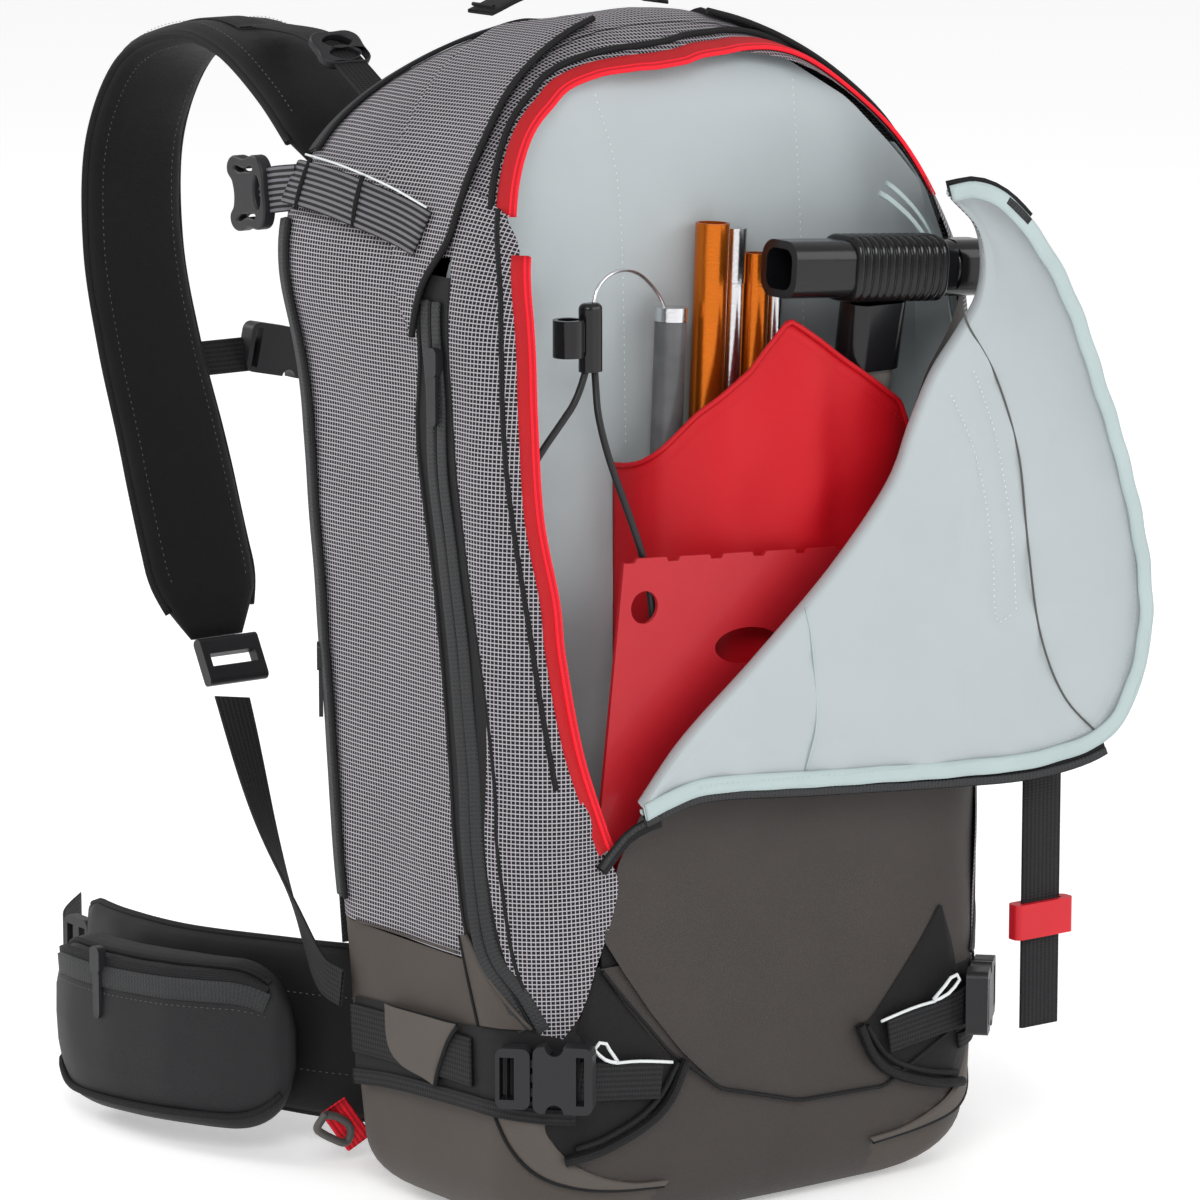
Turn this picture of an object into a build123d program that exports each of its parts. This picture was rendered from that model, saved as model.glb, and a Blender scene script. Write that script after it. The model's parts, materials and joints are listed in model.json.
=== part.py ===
"""Ski backpack standing on its base, with its avalanche-tool pocket unzipped.

Frame: millimetres, +Z up, -Y out of the front pocket, +Y towards the wearer, +X to the right of the front.
The origin is the middle of the flat patch of the base that the pack stands on.
"""
import os
from math import atan, cos, degrees, pi, radians, sin, sqrt, tan

from build123d import *

os.makedirs("parts", exist_ok=True)

# ---- driving dimensions -------------------------------------------------------------------------
HEIGHT = 583.0            # top of the domed lid above the floor
HALF_WIDTH = 148.0        # widest half width of the bag
FRONT = 108.0             # furthest reach of the front from the frame's X-Z plane
WALL = 3.0                # padded cloth wall
CORNER = 38.0             # vertical corner radius of the bag
BACK_FOOT = 58.0          # y of the back at the floor
BACK_LEAN = 0.106         # the back leans away from the front by this much per millimetre of height
BACK_TOP = 500.0          # height where the back starts to round over
ARCH_START = 440.0        # height where the sides start to arch over
FRONT_START = 300.0       # height where the front starts to curve back
SPLIT_Y = -38.0           # seam between the main compartment and the tool pocket
BOOT_TOP = 140.0          # top of the hard-wearing boot
WEB_20 = 20.0             # compression and sternum webbing width
WEB_25 = 25.0             # shoulder and carry webbing width
WEB_THICK = 1.6
CLEAR = 0.6               # gap left between neighbours that move past each other
CREASE_LOW = (-99.0, 188.0)     # x, z of the lower end of the pocket zip
BACK_LEAN_ANGLE = degrees(atan(BACK_LEAN))


def half_width(z):
    """Half width of the bag at a height."""
    foot = 30.0
    low = 1 - 0.24 * (1 - sqrt(1 - (1 - min(z, foot) / foot) ** 2))
    arch = max(0.0, (z - ARCH_START) / (HEIGHT + 3 - ARCH_START))
    return HALF_WIDTH * low * (0.965 + 0.035 * min(z, 200.0) / 200.0) * sqrt(1 - arch**2)


def front_y(z):
    """y of the front of the bag at a height."""
    foot = 34.0
    low = 1 - 0.24 * (1 - sqrt(1 - (1 - min(z, foot) / foot) ** 2))
    curve = max(0.0, (z - FRONT_START) / (HEIGHT + 10 - FRONT_START))
    return -FRONT * low * sqrt(1 - curve**2)


def back_y(z):
    """y of the back of the bag at a height."""
    foot = 20.0
    low = 14.0 * (1 - sqrt(1 - (1 - min(z, foot) / foot) ** 2))
    flat = BACK_FOOT + BACK_LEAN * min(z, BACK_TOP) - low
    round_over = max(0.0, (z - BACK_TOP) / (HEIGHT + 3 - BACK_TOP))
    return 30.0 + (flat - 30.0) * sqrt(1 - round_over**2)


STATIONS = [0, 6, 16, 34, 90, 160, 230, 300, 370, 440, 480, 510, 535, 556, 572, 583]


def bag_form(inset):
    """The bag's outer form as one solid, drawn in by inset on every side."""
    with BuildPart() as form:
        for z in STATIONS:
            wide = half_width(z) - inset
            low, high = front_y(z) + inset, back_y(z) - inset
            level = max(inset, min(z, HEIGHT - inset)) if z in (STATIONS[0], STATIONS[-1]) else z
            radius = min(CORNER - inset, 0.8 * wide, 0.4 * (high - low))
            with BuildSketch(Plane.XY.offset(level)):
                with Locations((0, (low + high) / 2)):
                    RectangleRounded(2 * wide, high - low, radius)
        loft(ruled=True)
    return form.part


def block(x0, x1, y0, y1, z0, z1):
    """A plain box between two corners, used only as a cutting tool."""
    centre = Pos((x0 + x1) / 2, (y0 + y1) / 2, (z0 + z1) / 2)
    return centre * Box(x1 - x0, y1 - y0, z1 - z0)


made = {}


def keep(name, part):
    """Labels a finished piece and writes it as one STEP file."""
    part.label = name
    export_step(part, f"parts/{name}.step")
    made[name] = part


# ---- the sewn bag -------------------------------------------------------------------------------
outer = bag_form(0.0)
inner = bag_form(WALL)
shell = outer - inner


# outline of the pocket's mouth on the front: the zip's arch above, the crease of the flap below
ZIP_INSET = 10.0
ARCH_X = HALF_WIDTH - ZIP_INSET
ARCH_Z = HEIGHT - ZIP_INSET - ARCH_START
ZIP_END_ANGLE = 27.0      # where the zip ends on the right of the arch
CREASE_SAG = (58.0, 322.0)   # the crease hangs below the straight line between its ends
ZIP_LEFT = [(-124.0, 262.0), (-135.0, 350.0), (-ARCH_X, ARCH_START)]


def crease_end(grow):
    """x, z of the upper end of the crease, on the arch grown by grow."""
    end = radians(ZIP_END_ANGLE)
    return ((ARCH_X + grow) * cos(end), ARCH_START + (ARCH_Z + grow) * sin(end))


CREASE_HIGH = crease_end(0)


def mouth_prism(grow, y_far, y_near):
    """The mouth's outline as a prism along Y, grown by grow all round."""
    low = (CREASE_LOW[0] - 0.5 * grow, CREASE_LOW[1] - 1.1 * grow)
    sag = (CREASE_SAG[0] + 0.8 * grow, CREASE_SAG[1] - 0.6 * grow)
    with BuildPart() as prism:
        with BuildSketch(Plane.XZ.offset(-y_far)):
            with BuildLine():
                Polyline(low, *[(x - grow, z) for x, z in ZIP_LEFT])
                EllipticalCenterArc((0, ARCH_START), ARCH_X + grow, ARCH_Z + grow, ZIP_END_ANGLE,
                                    arc_size=180 - ZIP_END_ANGLE)
                ThreePointArc(crease_end(grow), sag, low)
            make_face()
        extrude(amount=y_far - y_near)
    return prism.part


mouth = mouth_prism(0, -45, -160)
EDGE = 200.0
front_zone = block(-EDGE, EDGE, -EDGE, SPLIT_Y, 0, 600)
rear_zone = block(-EDGE, EDGE, SPLIT_Y, EDGE, 0, 600)
low_zone = block(-EDGE, EDGE, -EDGE, EDGE, -1, BOOT_TOP)
high_zone = block(-EDGE, EDGE, -EDGE, EDGE, BOOT_TOP, 600)

BACK_DOOR_X, BACK_DOOR_LOW, BACK_DOOR_HIGH = 112.0, 116.0, 505.0
back_door = block(-BACK_DOOR_X, BACK_DOOR_X, 30, EDGE, BACK_DOOR_LOW, BACK_DOOR_HIGH)
# brown lower front, from the left of the zip's end to the right side
FRONT_PANEL_LEFT, FRONT_PANEL_Y = -100.0, -62.0
front_panel_zone = block(FRONT_PANEL_LEFT, EDGE, -EDGE, FRONT_PANEL_Y, BOOT_TOP, 438)

front_shell = shell & front_zone & high_zone
# the slack fold of cloth at the top of the crease, which the shovel's grip leans out through
GRIP_NOTCH = block(104, 160, -160, FRONT_PANEL_Y, 438, 520)
keep("front_lower_panel", (front_shell & front_panel_zone) - mouth)
keep("pocket_gusset", front_shell - front_panel_zone - mouth - GRIP_NOTCH)
rear_shell = (shell & rear_zone & high_zone) - back_door
keep("main_side_left", rear_shell & block(-EDGE, 0, -EDGE, EDGE, 0, 600))
keep("main_side_right", rear_shell & block(0, EDGE, -EDGE, EDGE, 0, 600))
keep("boot", (shell & low_zone) - back_door)
keep("pocket_divider", (inner & block(-EDGE, EDGE, SPLIT_Y, SPLIT_Y + 2, 12, 600)))

# red zip tape that frames the mouth, sewn on the outside of the front
ring = mouth_prism(8, -30, -160) - mouth_prism(0, -30, -160)
crease_side = block(-94, EDGE, -EDGE, 0, 0, CREASE_HIGH[1] - 12)
keep("mouth_zip_tape", ((bag_form(-1.2) - outer) & ring) - crease_side)


# ---- ribbons ------------------------------------------------------------------------------------
def ribbon(plane, path, thick, wide):
    """A strap: a smooth path drawn on plane, given a thickness and extruded by its width."""
    with BuildPart() as strap:
        with BuildSketch(plane):
            with BuildLine() as route:
                if len(path) > 2:
                    Spline(*path)
                else:
                    Line(*path)
            trace(lines=route.line.edges(), line_width=thick)
        extrude(amount=wide)
    return strap.part


# ---- back panel, its frame and the harness, which swing open together -----------------------------
def back_plane(gap):
    """A plane on the leaning back, gap behind the cloth, with its x along +X and its y up the back."""
    lean = radians(BACK_LEAN_ANGLE)
    origin = (0, BACK_FOOT + gap / cos(lean), 0)
    return Plane(origin=origin, x_dir=(1, 0, 0), z_dir=(0, -cos(lean), sin(lean)))


def back_slab(wide, low, high, gap, thick, radius):
    """A slab that follows the back, from gap behind the cloth and thick deep."""
    with BuildPart() as slab:
        with BuildSketch(back_plane(gap)):
            with Locations((0, (low + high) / 2)):
                RectangleRounded(2 * wide, high - low, radius)
        extrude(amount=-thick)
    return slab.part


PANEL_LOW, PANEL_HIGH, PANEL_HALF = 118.0, 512.0, 122.0
keep("back_panel_cloth", back_slab(PANEL_HALF, PANEL_LOW, PANEL_HIGH, CLEAR, 3.0, 30))
keep("frame_sheet", back_slab(104, PANEL_LOW + 12, PANEL_HIGH - 16, CLEAR + 3.0, 1.5, 22)
     - back_slab(8, 150, 470, CLEAR + 2, 4, 4))
keep("frame_stay", back_slab(6, 152, 468, CLEAR + 3.0, 3.0, 3))
PAD_LOW, PAD_HIGH = 156.0, 470.0
with BuildPart() as pads:
    with BuildSketch(back_plane(CLEAR + 6.2)):
        with Locations((-52, (PAD_LOW + PAD_HIGH) / 2), (52, (PAD_LOW + PAD_HIGH) / 2)):
            RectangleRounded(72, PAD_HIGH - PAD_LOW, 20)
    extrude(amount=-13)
keep("back_pad", pads.part)
keep("harness_yoke", back_slab(112, PAD_HIGH + 6, PANEL_HIGH - 6, CLEAR + 6.2, 6.0, 10))

STRAP_HALF, STRAP_THICK = 32.0, 14.0
STRAP_X = 85.0
STRAP_PATH = [(128, 502), (168, 524), (214, 540), (258, 540), (308, 524), (336, 488), (338, 437), (325, 388),
              (304, 340), (283, 287), (262, 240)]
STRAP_DROP = 26.0         # the right strap has slumped lower than the left one


def slump(path, drop):
    """The same strap path, slumped by drop away from its sewn end."""
    start = path[0][0]
    reach = 90.0
    return [(y, z - drop * min(1.0, (y - start) / reach)) for y, z in path]


for side, sign, drop in (("left", -1, 0.0), ("right", 1, STRAP_DROP)):
    path = slump(STRAP_PATH, drop)
    plane = Plane.YZ.offset(sign * STRAP_X - STRAP_HALF)
    keep(f"shoulder_strap_{side}", ribbon(plane, path, STRAP_THICK, 2 * STRAP_HALF))
    # ladder lock under the end of the strap, on a short web tab
    end_y, end_z = path[-1]
    with BuildPart() as lock:
        with BuildSketch(Plane.YZ.offset(sign * STRAP_X - 18)):
            with Locations(Location((end_y - 14, end_z - 10), 60)):
                RectangleRounded(26, 7, 3)
                Rectangle(7, 12, mode=Mode.SUBTRACT)
                with Locations((-9, 0), (9, 0)):
                    Circle(3.4)
        extrude(amount=36)
    # joined round the web by its two side bars
    with BuildPart() as bars:
        with BuildSketch(Plane.YZ.offset(sign * STRAP_X - 18)):
            with Locations(Location((end_y - 14, end_z - 10), 60)):
                RectangleRounded(26, 7, 3)
        extrude(amount=4)
        with BuildSketch(Plane.YZ.offset(sign * STRAP_X + 14)):
            with Locations(Location((end_y - 14, end_z - 10), 60)):
                RectangleRounded(26, 7, 3)
        extrude(amount=4)
    keep(f"strap_adjuster_{side}", lock.part + bars.part)


# ---- tool pocket: sleeve, shovel and probe --------------------------------------------------------
SLEEVE_PATH = [(-47, -39.9), (-45, -56), (-34, -71), (10, -87), (58, -91), (104, -85), (127, -60), (134, -39.9)]
SLEEVE_TOP = [(-47, 371), (-22, 399), (4, 418), (23, 442)]
SLEEVE_SIDE = [(23, 442), (56, 420), (93, 395), (105, 373), (140, 330)]
SLEEVE_LOW = 62.0
with BuildPart() as sleeve:
    with BuildSketch(Plane.XY.offset(SLEEVE_LOW)):
        with BuildLine() as route:
            Spline(*SLEEVE_PATH)
        trace(lines=route.line.edges(), line_width=1.2)
    extrude(amount=390)
    with BuildSketch(Plane.XZ.offset(-10)):
        with BuildLine():
            Polyline((-60, 50), (-60, 373), SLEEVE_TOP[0])
            Spline(*SLEEVE_TOP)
            Polyline(*SLEEVE_SIDE, (160, 330), (160, 50), (-60, 50))
        make_face()
    extrude(amount=200, mode=Mode.INTERSECT)
keep("tool_sleeve", sleeve.part & block(-EDGE, EDGE, -EDGE, SPLIT_Y - 0.1, 0, 600))

# shovel blade: thin alloy plate standing on its socket end, cutting edge up
BLADE_Y, BLADE_THICK, BLADE_TILT = -96.0, 2.0, -3.5
BLADE_HALF, BLADE_TALL, BLADE_TOP = 106.0, 240.0, 330.0
with BuildPart() as blade:
    with BuildSketch(Plane.XZ.offset(-BLADE_Y)):
        with Locations(Location((4, BLADE_TOP - BLADE_TALL / 2), BLADE_TILT)):
            with Locations((0, 0)):
                Trapezoid(2 * BLADE_HALF, BLADE_TALL, 87)
            with Locations([(-90 + 26 * tooth, BLADE_TALL / 2 + 3) for tooth in range(8)]):
                RegularPolygon(6, 6, mode=Mode.SUBTRACT)
            with Locations((-80, BLADE_TALL / 2 - 24)):
                Circle(8, mode=Mode.SUBTRACT)
            with Locations((-16, BLADE_TALL / 2 - 46)):
                Ellipse(20, 9, mode=Mode.SUBTRACT)
    extrude(amount=BLADE_THICK)
    fillet(blade.edges().filter_by(Axis.Y).sort_by(Axis.Z)[:2], 26)
keep("shovel_blade", blade.part)

# shovel handle: ribbed barrel grip on a neck, clamped on an oval shaft that leans back into the sleeve
GRIP_X, GRIP_Y, GRIP_Z = 79.0, -88.0, 462.0
GRIP_R, GRIP_HALF = 14.0, 61.0
SHAFT_LEAN = 10.0
grip_plane = Plane(origin=(GRIP_X, GRIP_Y, GRIP_Z), x_dir=(0, 1, 0), z_dir=(cos(radians(4)), 0, -sin(radians(4))))
with BuildPart() as grip:
    with BuildSketch(grip_plane.offset(-GRIP_HALF)):
        RectangleRounded(2 * GRIP_R, 2 * GRIP_R, 9)
    extrude(amount=2 * GRIP_HALF)
    with Locations(*[grip_plane.offset(-10 + 8.5 * rib).location for rib in range(7)]):
        Torus(GRIP_R + 0.4, 1.6, mode=Mode.SUBTRACT)
    with BuildSketch(grip_plane.offset(-GRIP_HALF)):
        RectangleRounded(20, 20, 6)
    extrude(amount=26, mode=Mode.SUBTRACT)
keep("shovel_grip", grip.part)
shaft_plane = Plane(origin=(GRIP_X, GRIP_Y, GRIP_Z), x_dir=(1, 0, 0),
                    z_dir=(0, sin(radians(SHAFT_LEAN)), -cos(radians(SHAFT_LEAN))))
with BuildPart() as neck:
    with BuildSketch(shaft_plane.offset(GRIP_R + 2.2)):
        RectangleRounded(34, 20, 8)
    with BuildSketch(shaft_plane.offset(50)):
        RectangleRounded(33, 22, 9)
    loft(ruled=True)
keep("shovel_neck", neck.part)
with BuildPart() as shaft:
    with BuildSketch(shaft_plane.offset(50)):
        SlotOverall(30, 18)
        SlotOverall(27, 15, mode=Mode.SUBTRACT)
    extrude(amount=165)
keep("shovel_shaft", shaft.part)

# probe: its sections side by side, held in the sleeve; each is x, y, height of its top, radius, foot
PROBE_LEAN = radians(2.4)
PROBE_SECTIONS = {
    "probe_orange_sections": [(5, -52, 486, 8.4, 70), (32.6, -52, 469, 6.4, 80)],
    "probe_silver_sections": [(19.6, -50, 455, 5.2, 76), (44.6, -50, 448, 4.4, 86)],
    "probe_carbon_section": [(-22, -54, 440, 7.8, 160)]}
PROBE_ENDS = [(20.7, -50, 482, 5.6, 26.8), (45.4, -50, 466, 4.8, 17.8), (-21.7, -54, 447, 8.1, 6.8)]


def probe_plane(x, y, top):
    """A plane across the top of a probe section, looking down along it."""
    return Plane(origin=(x, y, top), x_dir=(0, 1, 0), z_dir=(-sin(PROBE_LEAN), 0, -cos(PROBE_LEAN)))


for name, sections in PROBE_SECTIONS.items():
    with BuildPart() as tubes:
        for x, y, top, radius, foot in sections:
            with BuildSketch(probe_plane(x, y, top)):
                Circle(radius)
                Circle(radius - 1.2, mode=Mode.SUBTRACT)
            extrude(amount=top - foot)
    keep(name, tubes.part)
with BuildPart() as ends:
    for x, y, top, radius, tall in PROBE_ENDS:
        with BuildSketch(probe_plane(x, y, top)):
            Circle(radius)
        extrude(amount=tall)
keep("probe_end_fittings", ends.part)

# the probe's pull knob: a moulded sleeve with a side clip, hanging from the tension cable
KNOB_X, KNOB_Y, KNOB_TOP, KNOB_LOW = -86.0, -76.0, 457.0, 424.0
with BuildPart() as knob:
    with BuildSketch(Plane.XY.offset(KNOB_LOW)):
        with Locations((KNOB_X, KNOB_Y)):
            SlotOverall(12, 9)
    extrude(amount=KNOB_TOP - KNOB_LOW)
    fillet(knob.edges().group_by(Axis.Z)[-1], 3)
    with Locations((KNOB_X - 13, KNOB_Y, KNOB_TOP - 16)):
        Cylinder(7.5, 18)
        with Locations((6, 0, 0)):
            Box(12, 5, 14)
    with Locations((KNOB_X - 13, KNOB_Y, KNOB_TOP - 6)):
        Cylinder(5.2, 8, mode=Mode.SUBTRACT)
keep("probe_knob", knob.part)

# the probe's two cords: a pull loop that hangs behind the blade, and the thin tension cable
PULL_DIA, CABLE_DIA = 3.6, 1.8
PULL_ROUTE = [(-89, -76, 424), (-93, -76, 412), (-104, -77.5, 401), (-117, -79.5, 389), (-128, -80, 375),
              (-136, -76, 355), (-139, -71, 320), (-139, -67, 280), (-137, -66, 242), (-126, -68, 212),
              (-104, -74, 197), (-82, -82, 207), (-68, -89, 233), (-61, -92, 268), (-60, -92.5, 303),
              (-66, -92.5, 333), (-76, -91.5, 359), (-84, -88, 383), (-86, -82, 403), (-83.5, -77, 415),
              (-83.5, -76, 424)]
CABLE_ROUTE = [(-84, -76, 457), (-82.5, -75.5, 462.5), (-77, -74.2, 467.5), (-69, -72, 470), (-59, -68.5, 470),
               (-48, -64, 466.5), (-38, -59.5, 460), (-30, -56, 453), (-26, -54.5, 447)]


def hanging_cord(route, thick):
    """A round cord: straight runs joined by arcs as large as the runs allow."""
    points = [Vector(*point) for point in route]
    radii = []
    for before, here, after in zip(points, points[1:], points[2:]):
        turn = radians((here - before).get_angle(after - here))
        radii.append(0.45 * min((here - before).length, (after - here).length) / tan(turn / 2))
    print("bend radii in diameters", [round(radius / thick, 1) for radius in radii])
    with BuildPart() as cord:
        with BuildLine() as path:
            FilletPolyline(*points, radius=radii)
        with BuildSketch(Plane(origin=points[0], z_dir=points[1] - points[0])):
            Circle(thick / 2)
        sweep(path=path.line)
    length = path.wire().length
    print("length", round(length, 1))
    return cord.part


keep("pull_cord", hanging_cord(PULL_ROUTE, PULL_DIA))
keep("tension_cable", hanging_cord(CABLE_ROUTE, CABLE_DIA))


# ---- front flap: the pocket's cover, laid open to the right of its crease ----------------------------
CREASE_SLOPE = atan((CREASE_HIGH[1] - CREASE_LOW[1]) / (CREASE_HIGH[0] - CREASE_LOW[0]))
crease_plane = Plane(origin=(CREASE_LOW[0], 0, CREASE_LOW[1]), x_dir=(0, 1, 0),
                     z_dir=(sin(CREASE_SLOPE), 0, -cos(CREASE_SLOPE)))
FLAP_FRONT, FLAP_BACK = -127.0, -123.0


def open_flap(grow):
    """The mouth's outline turned over its crease, which is where the open flap rests."""
    return mirror(mouth_prism(grow, FLAP_BACK + 2, FLAP_FRONT - 2), about=crease_plane)


plate = block(-EDGE, 2 * EDGE, FLAP_FRONT, FLAP_BACK, -50, 700)
clear_of_mouth = mouth_prism(3, FLAP_BACK + 5, FLAP_FRONT - 5)
keep("flap_panel", (open_flap(0) & plate) - clear_of_mouth)
keep("flap_zip_coil", (open_flap(7) & plate) - open_flap(0.2) - clear_of_mouth)

# ---- hip belt ------------------------------------------------------------------------------------
WING_LOW, WING_HIGH, WING_THICK = 18.0, 108.0, 16.0
WING_PATH = [(86, 83), (106, 97), (125, 130), (148, 190), (150, 250), (140, 305)]


def plan_ribbon(path, sign, thick, low, high):
    """An upright band that follows a path drawn on the floor, on one side of the bag."""
    return ribbon(Plane.XY.offset(low), [(sign * x, y) for x, y in path], thick, high - low)


keep("hip_wing_left", plan_ribbon(WING_PATH, -1, WING_THICK, WING_LOW, WING_HIGH))
keep("hip_wing_right", plan_ribbon(WING_PATH, 1, WING_THICK, WING_LOW, WING_HIGH))
keep("lumbar_pad", back_slab(64, 24, 110, CLEAR, 14, 16))
POCKET_PATH = [(150, 126), (173, 186), (176, 250), (166, 298)]
keep("hip_pocket", plan_ribbon(POCKET_PATH, -1, 29, 14, 104))
WING_TIP_X, WING_TIP_Y, WING_MIDDLE = 138.0, 318.0, 60.0
for side, sign in (("left", -1), ("right", 1)):
    # ladder lock at the tip of each wing, and the web it holds
    with BuildPart() as ladder:
        with BuildSketch(Plane.YZ.offset(sign * WING_TIP_X - 3)):
            with Locations((WING_TIP_Y, WING_MIDDLE)):
                RectangleRounded(23, 48, 4)
                with Locations((-6, 0), (6, 0)):
                    Rectangle(6, 39, mode=Mode.SUBTRACT)
        extrude(amount=6)
    keep(f"hip_ladder_lock_{side}", ladder.part)
    hip_web_path = [(sign * (WING_TIP_X - 0.5), WING_TIP_Y + 13), (sign * 118, 366), (sign * 96, 388)]
    keep(f"hip_web_{side}", ribbon(Plane.XY.offset(WING_MIDDLE - 18), hip_web_path, WEB_THICK, 36))

# ---- side-release buckles -------------------------------------------------------------------------
def buckle_socket(plane, wide, length, thick):
    """Female half: a flat box with its mouth at the plane's far end along x."""
    with BuildPart() as half:
        with BuildSketch(plane.offset(-thick / 2)):
            with Locations((-length / 2 - 0.5, 0)):
                RectangleRounded(length - 1, wide, 4)
        extrude(amount=thick)
        with BuildSketch(plane.offset(-thick / 2 + 2)):
            with Locations((-length * 0.35, 0)):
                Rectangle(length * 0.7, wide - 8)
        extrude(amount=thick - 4, mode=Mode.SUBTRACT)
        with BuildSketch(plane.offset(-thick / 2)):
            with Locations((-length + 6, 0)):
                Rectangle(4, wide - 9)
            with Locations((-length * 0.38, wide / 2), (-length * 0.38, -wide / 2)):
                Circle(4.5)
        extrude(amount=thick, mode=Mode.SUBTRACT)
    return half.part


def buckle_plug(plane, wide, length, thick):
    """Male half: a web bar with two sprung prongs reaching back into the socket along x."""
    with BuildPart() as half:
        with BuildSketch(plane.offset(-thick / 2)):
            with Locations((length * 0.3 + 0.5, 0)):
                RectangleRounded(length * 0.6, wide, 4)
                with Locations((1, 0), (length * 0.2 - 1, 0)):
                    Rectangle(3.5, wide - 9, mode=Mode.SUBTRACT)
        extrude(amount=thick)
        with BuildSketch(plane.offset(-thick / 2 + 2.8)):
            with Locations((-length * 0.2, wide / 2 - 8), (-length * 0.2, 8 - wide / 2), (-length * 0.2, 0)):
                Rectangle(length * 0.56, 4)
        extrude(amount=thick - 5.6)
    return half.part


DIAGONAL = sqrt(0.5)
BUCKLE_OUT = 46.0         # from the bag's corner centre to the middle of the buckle
BUCKLE_Z = 90.0
for side, sign in (("left", -1), ("right", 1)):
    corner_x, corner_y = sign * (half_width(BUCKLE_Z) - CORNER), front_y(BUCKLE_Z) + CORNER
    centre = (corner_x + sign * DIAGONAL * BUCKLE_OUT, corner_y - DIAGONAL * BUCKLE_OUT, BUCKLE_Z)
    buckle_plane = Plane(origin=centre, x_dir=(sign * DIAGONAL, DIAGONAL, 0), z_dir=(sign * DIAGONAL, -DIAGONAL, 0))
    plug, socket = buckle_plug(buckle_plane, 30, 28, 10), buckle_socket(buckle_plane, 33, 30, 11)
    if side == "left":
        keep("compression_plug_left", plug)
        keep("compression_socket_left", socket)
    else:
        keep("compression_buckle_right", Compound(children=[plug, socket]))

# ---- webbing that lies on the bag's cloth -----------------------------------------------------------
skin = bag_form(-WEB_THICK) - outer


def lying_web(corners):
    """Webbing that hugs the bag inside an outline drawn on its side: corners are (y, z) pairs."""
    with BuildPart() as prism:
        with BuildSketch(Plane.YZ):
            with BuildLine():
                Polyline(*corners, corners[0])
            make_face()
        extrude(amount=EDGE, both=True)
    return skin & prism.part


left_half = block(-EDGE, 0, -EDGE, EDGE, -10, 650)
right_half = block(0, EDGE, -EDGE, EDGE, -10, 650)
side_band = lying_web([(-68, 80), (-68, 100), (48, 92), (48, 72)])
keep("compression_web_right", side_band & right_half)
upper_band = lying_web([(-18, 478), (-18, 503), (84, 524), (84, 499)])
UPPER_TAIL = [(-132.8, 85.5), (-141, 100), (-148, 113)]
keep("upper_web_left", (upper_band & left_half) + ribbon(Plane.XY.offset(499), UPPER_TAIL, WEB_THICK, WEB_25))
keep("upper_web_right", upper_band & right_half)
zip_band = lying_web([(-20, 505), (-27, 462), (-29, 315), (-55, 145), (-87, 145), (-59, 315), (-52, 462), (-46, 505)])
keep("side_zip_left", zip_band & left_half)
keep("side_zip_right", zip_band & right_half)
front_web = skin & block(-104, -58, -EDGE, -90, 74, 94)
keep("compression_web_left", (side_band & left_half) + front_web)

# the loose half of the upper compression buckle, on the tail of its webbing
upper_plane = Plane(origin=(-150, 145, 511.5), x_dir=(0, 1, 0), z_dir=(-1, 0, 0))
keep("upper_buckle_left", buckle_socket(upper_plane, 31, 28, 10))

# haul loop on top of the back panel
LOOP_PATH = [(-52, 584.8), (-30, 591), (0, 594), (30, 591), (52, 584.8)]
keep("haul_loop", ribbon(Plane.XZ.offset(-72), LOOP_PATH, 3.0, 22))

# load lifters, from the top of the bag to each shoulder strap
with BuildPart() as lifters:
    for sign, end_z in ((-1, 549), (1, 530)):
        with BuildSketch(Plane.YZ.offset(sign * STRAP_X - WEB_20 / 2)):
            with BuildLine() as route:
                Spline((100, 546), (150, (548 + end_z) / 2 + 4), (206, end_z))
            trace(lines=route.line.edges(), line_width=WEB_THICK)
        extrude(amount=WEB_20)
keep("load_lifters", lifters.part)

# lower webbing of each shoulder strap, sewn to the foot of the bag
for side, sign, drop in (("left", -1, 0.0), ("right", 1, STRAP_DROP)):
    with BuildPart() as web:
        with BuildLine() as route:
            Spline((sign * 150.4, 46, 104), (sign * 149.6, 66, 108), (sign * 139, 100, 124),
                   (sign * 97, 229, 214 - drop))
        with BuildSketch(Plane(origin=route.line @ 0, x_dir=(0, 0, 1), z_dir=route.line % 0)):
            Rectangle(WEB_20, WEB_THICK)
        sweep(path=route.line)
    keep(f"shoulder_web_{side}", web.part)

# sternum strap between the shoulder straps, with its whistle buckle in the middle
STERNUM_Y, STERNUM_Z, STERNUM_TILT = 326.0, 377.0, 12.0
sternum_plane = Plane(origin=(0, STERNUM_Y, STERNUM_Z), z_dir=(0, 1, 0),
                      x_dir=(cos(radians(STERNUM_TILT)), 0, -sin(radians(STERNUM_TILT))))
with BuildPart() as sternum:
    with BuildSketch(sternum_plane.offset(-WEB_THICK / 2)):
        with Locations((-38, 0), (38, 0)):
            Rectangle(25, WEB_20)
    extrude(amount=WEB_THICK)
keep("sternum_web", sternum.part)
with BuildPart() as clasp:
    with BuildSketch(sternum_plane.offset(-5)):
        RectangleRounded(50, 27, 5)
        with Locations((-20, 0), (20, 0)):
            Rectangle(4, 21, mode=Mode.SUBTRACT)
    extrude(amount=10)
    with BuildSketch(sternum_plane.offset(-5)):
        with Locations((3, 13.5), (3, -13.5)):
            Circle(4)
    extrude(amount=10, mode=Mode.SUBTRACT)
keep("sternum_buckle", clasp.part)

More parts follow.
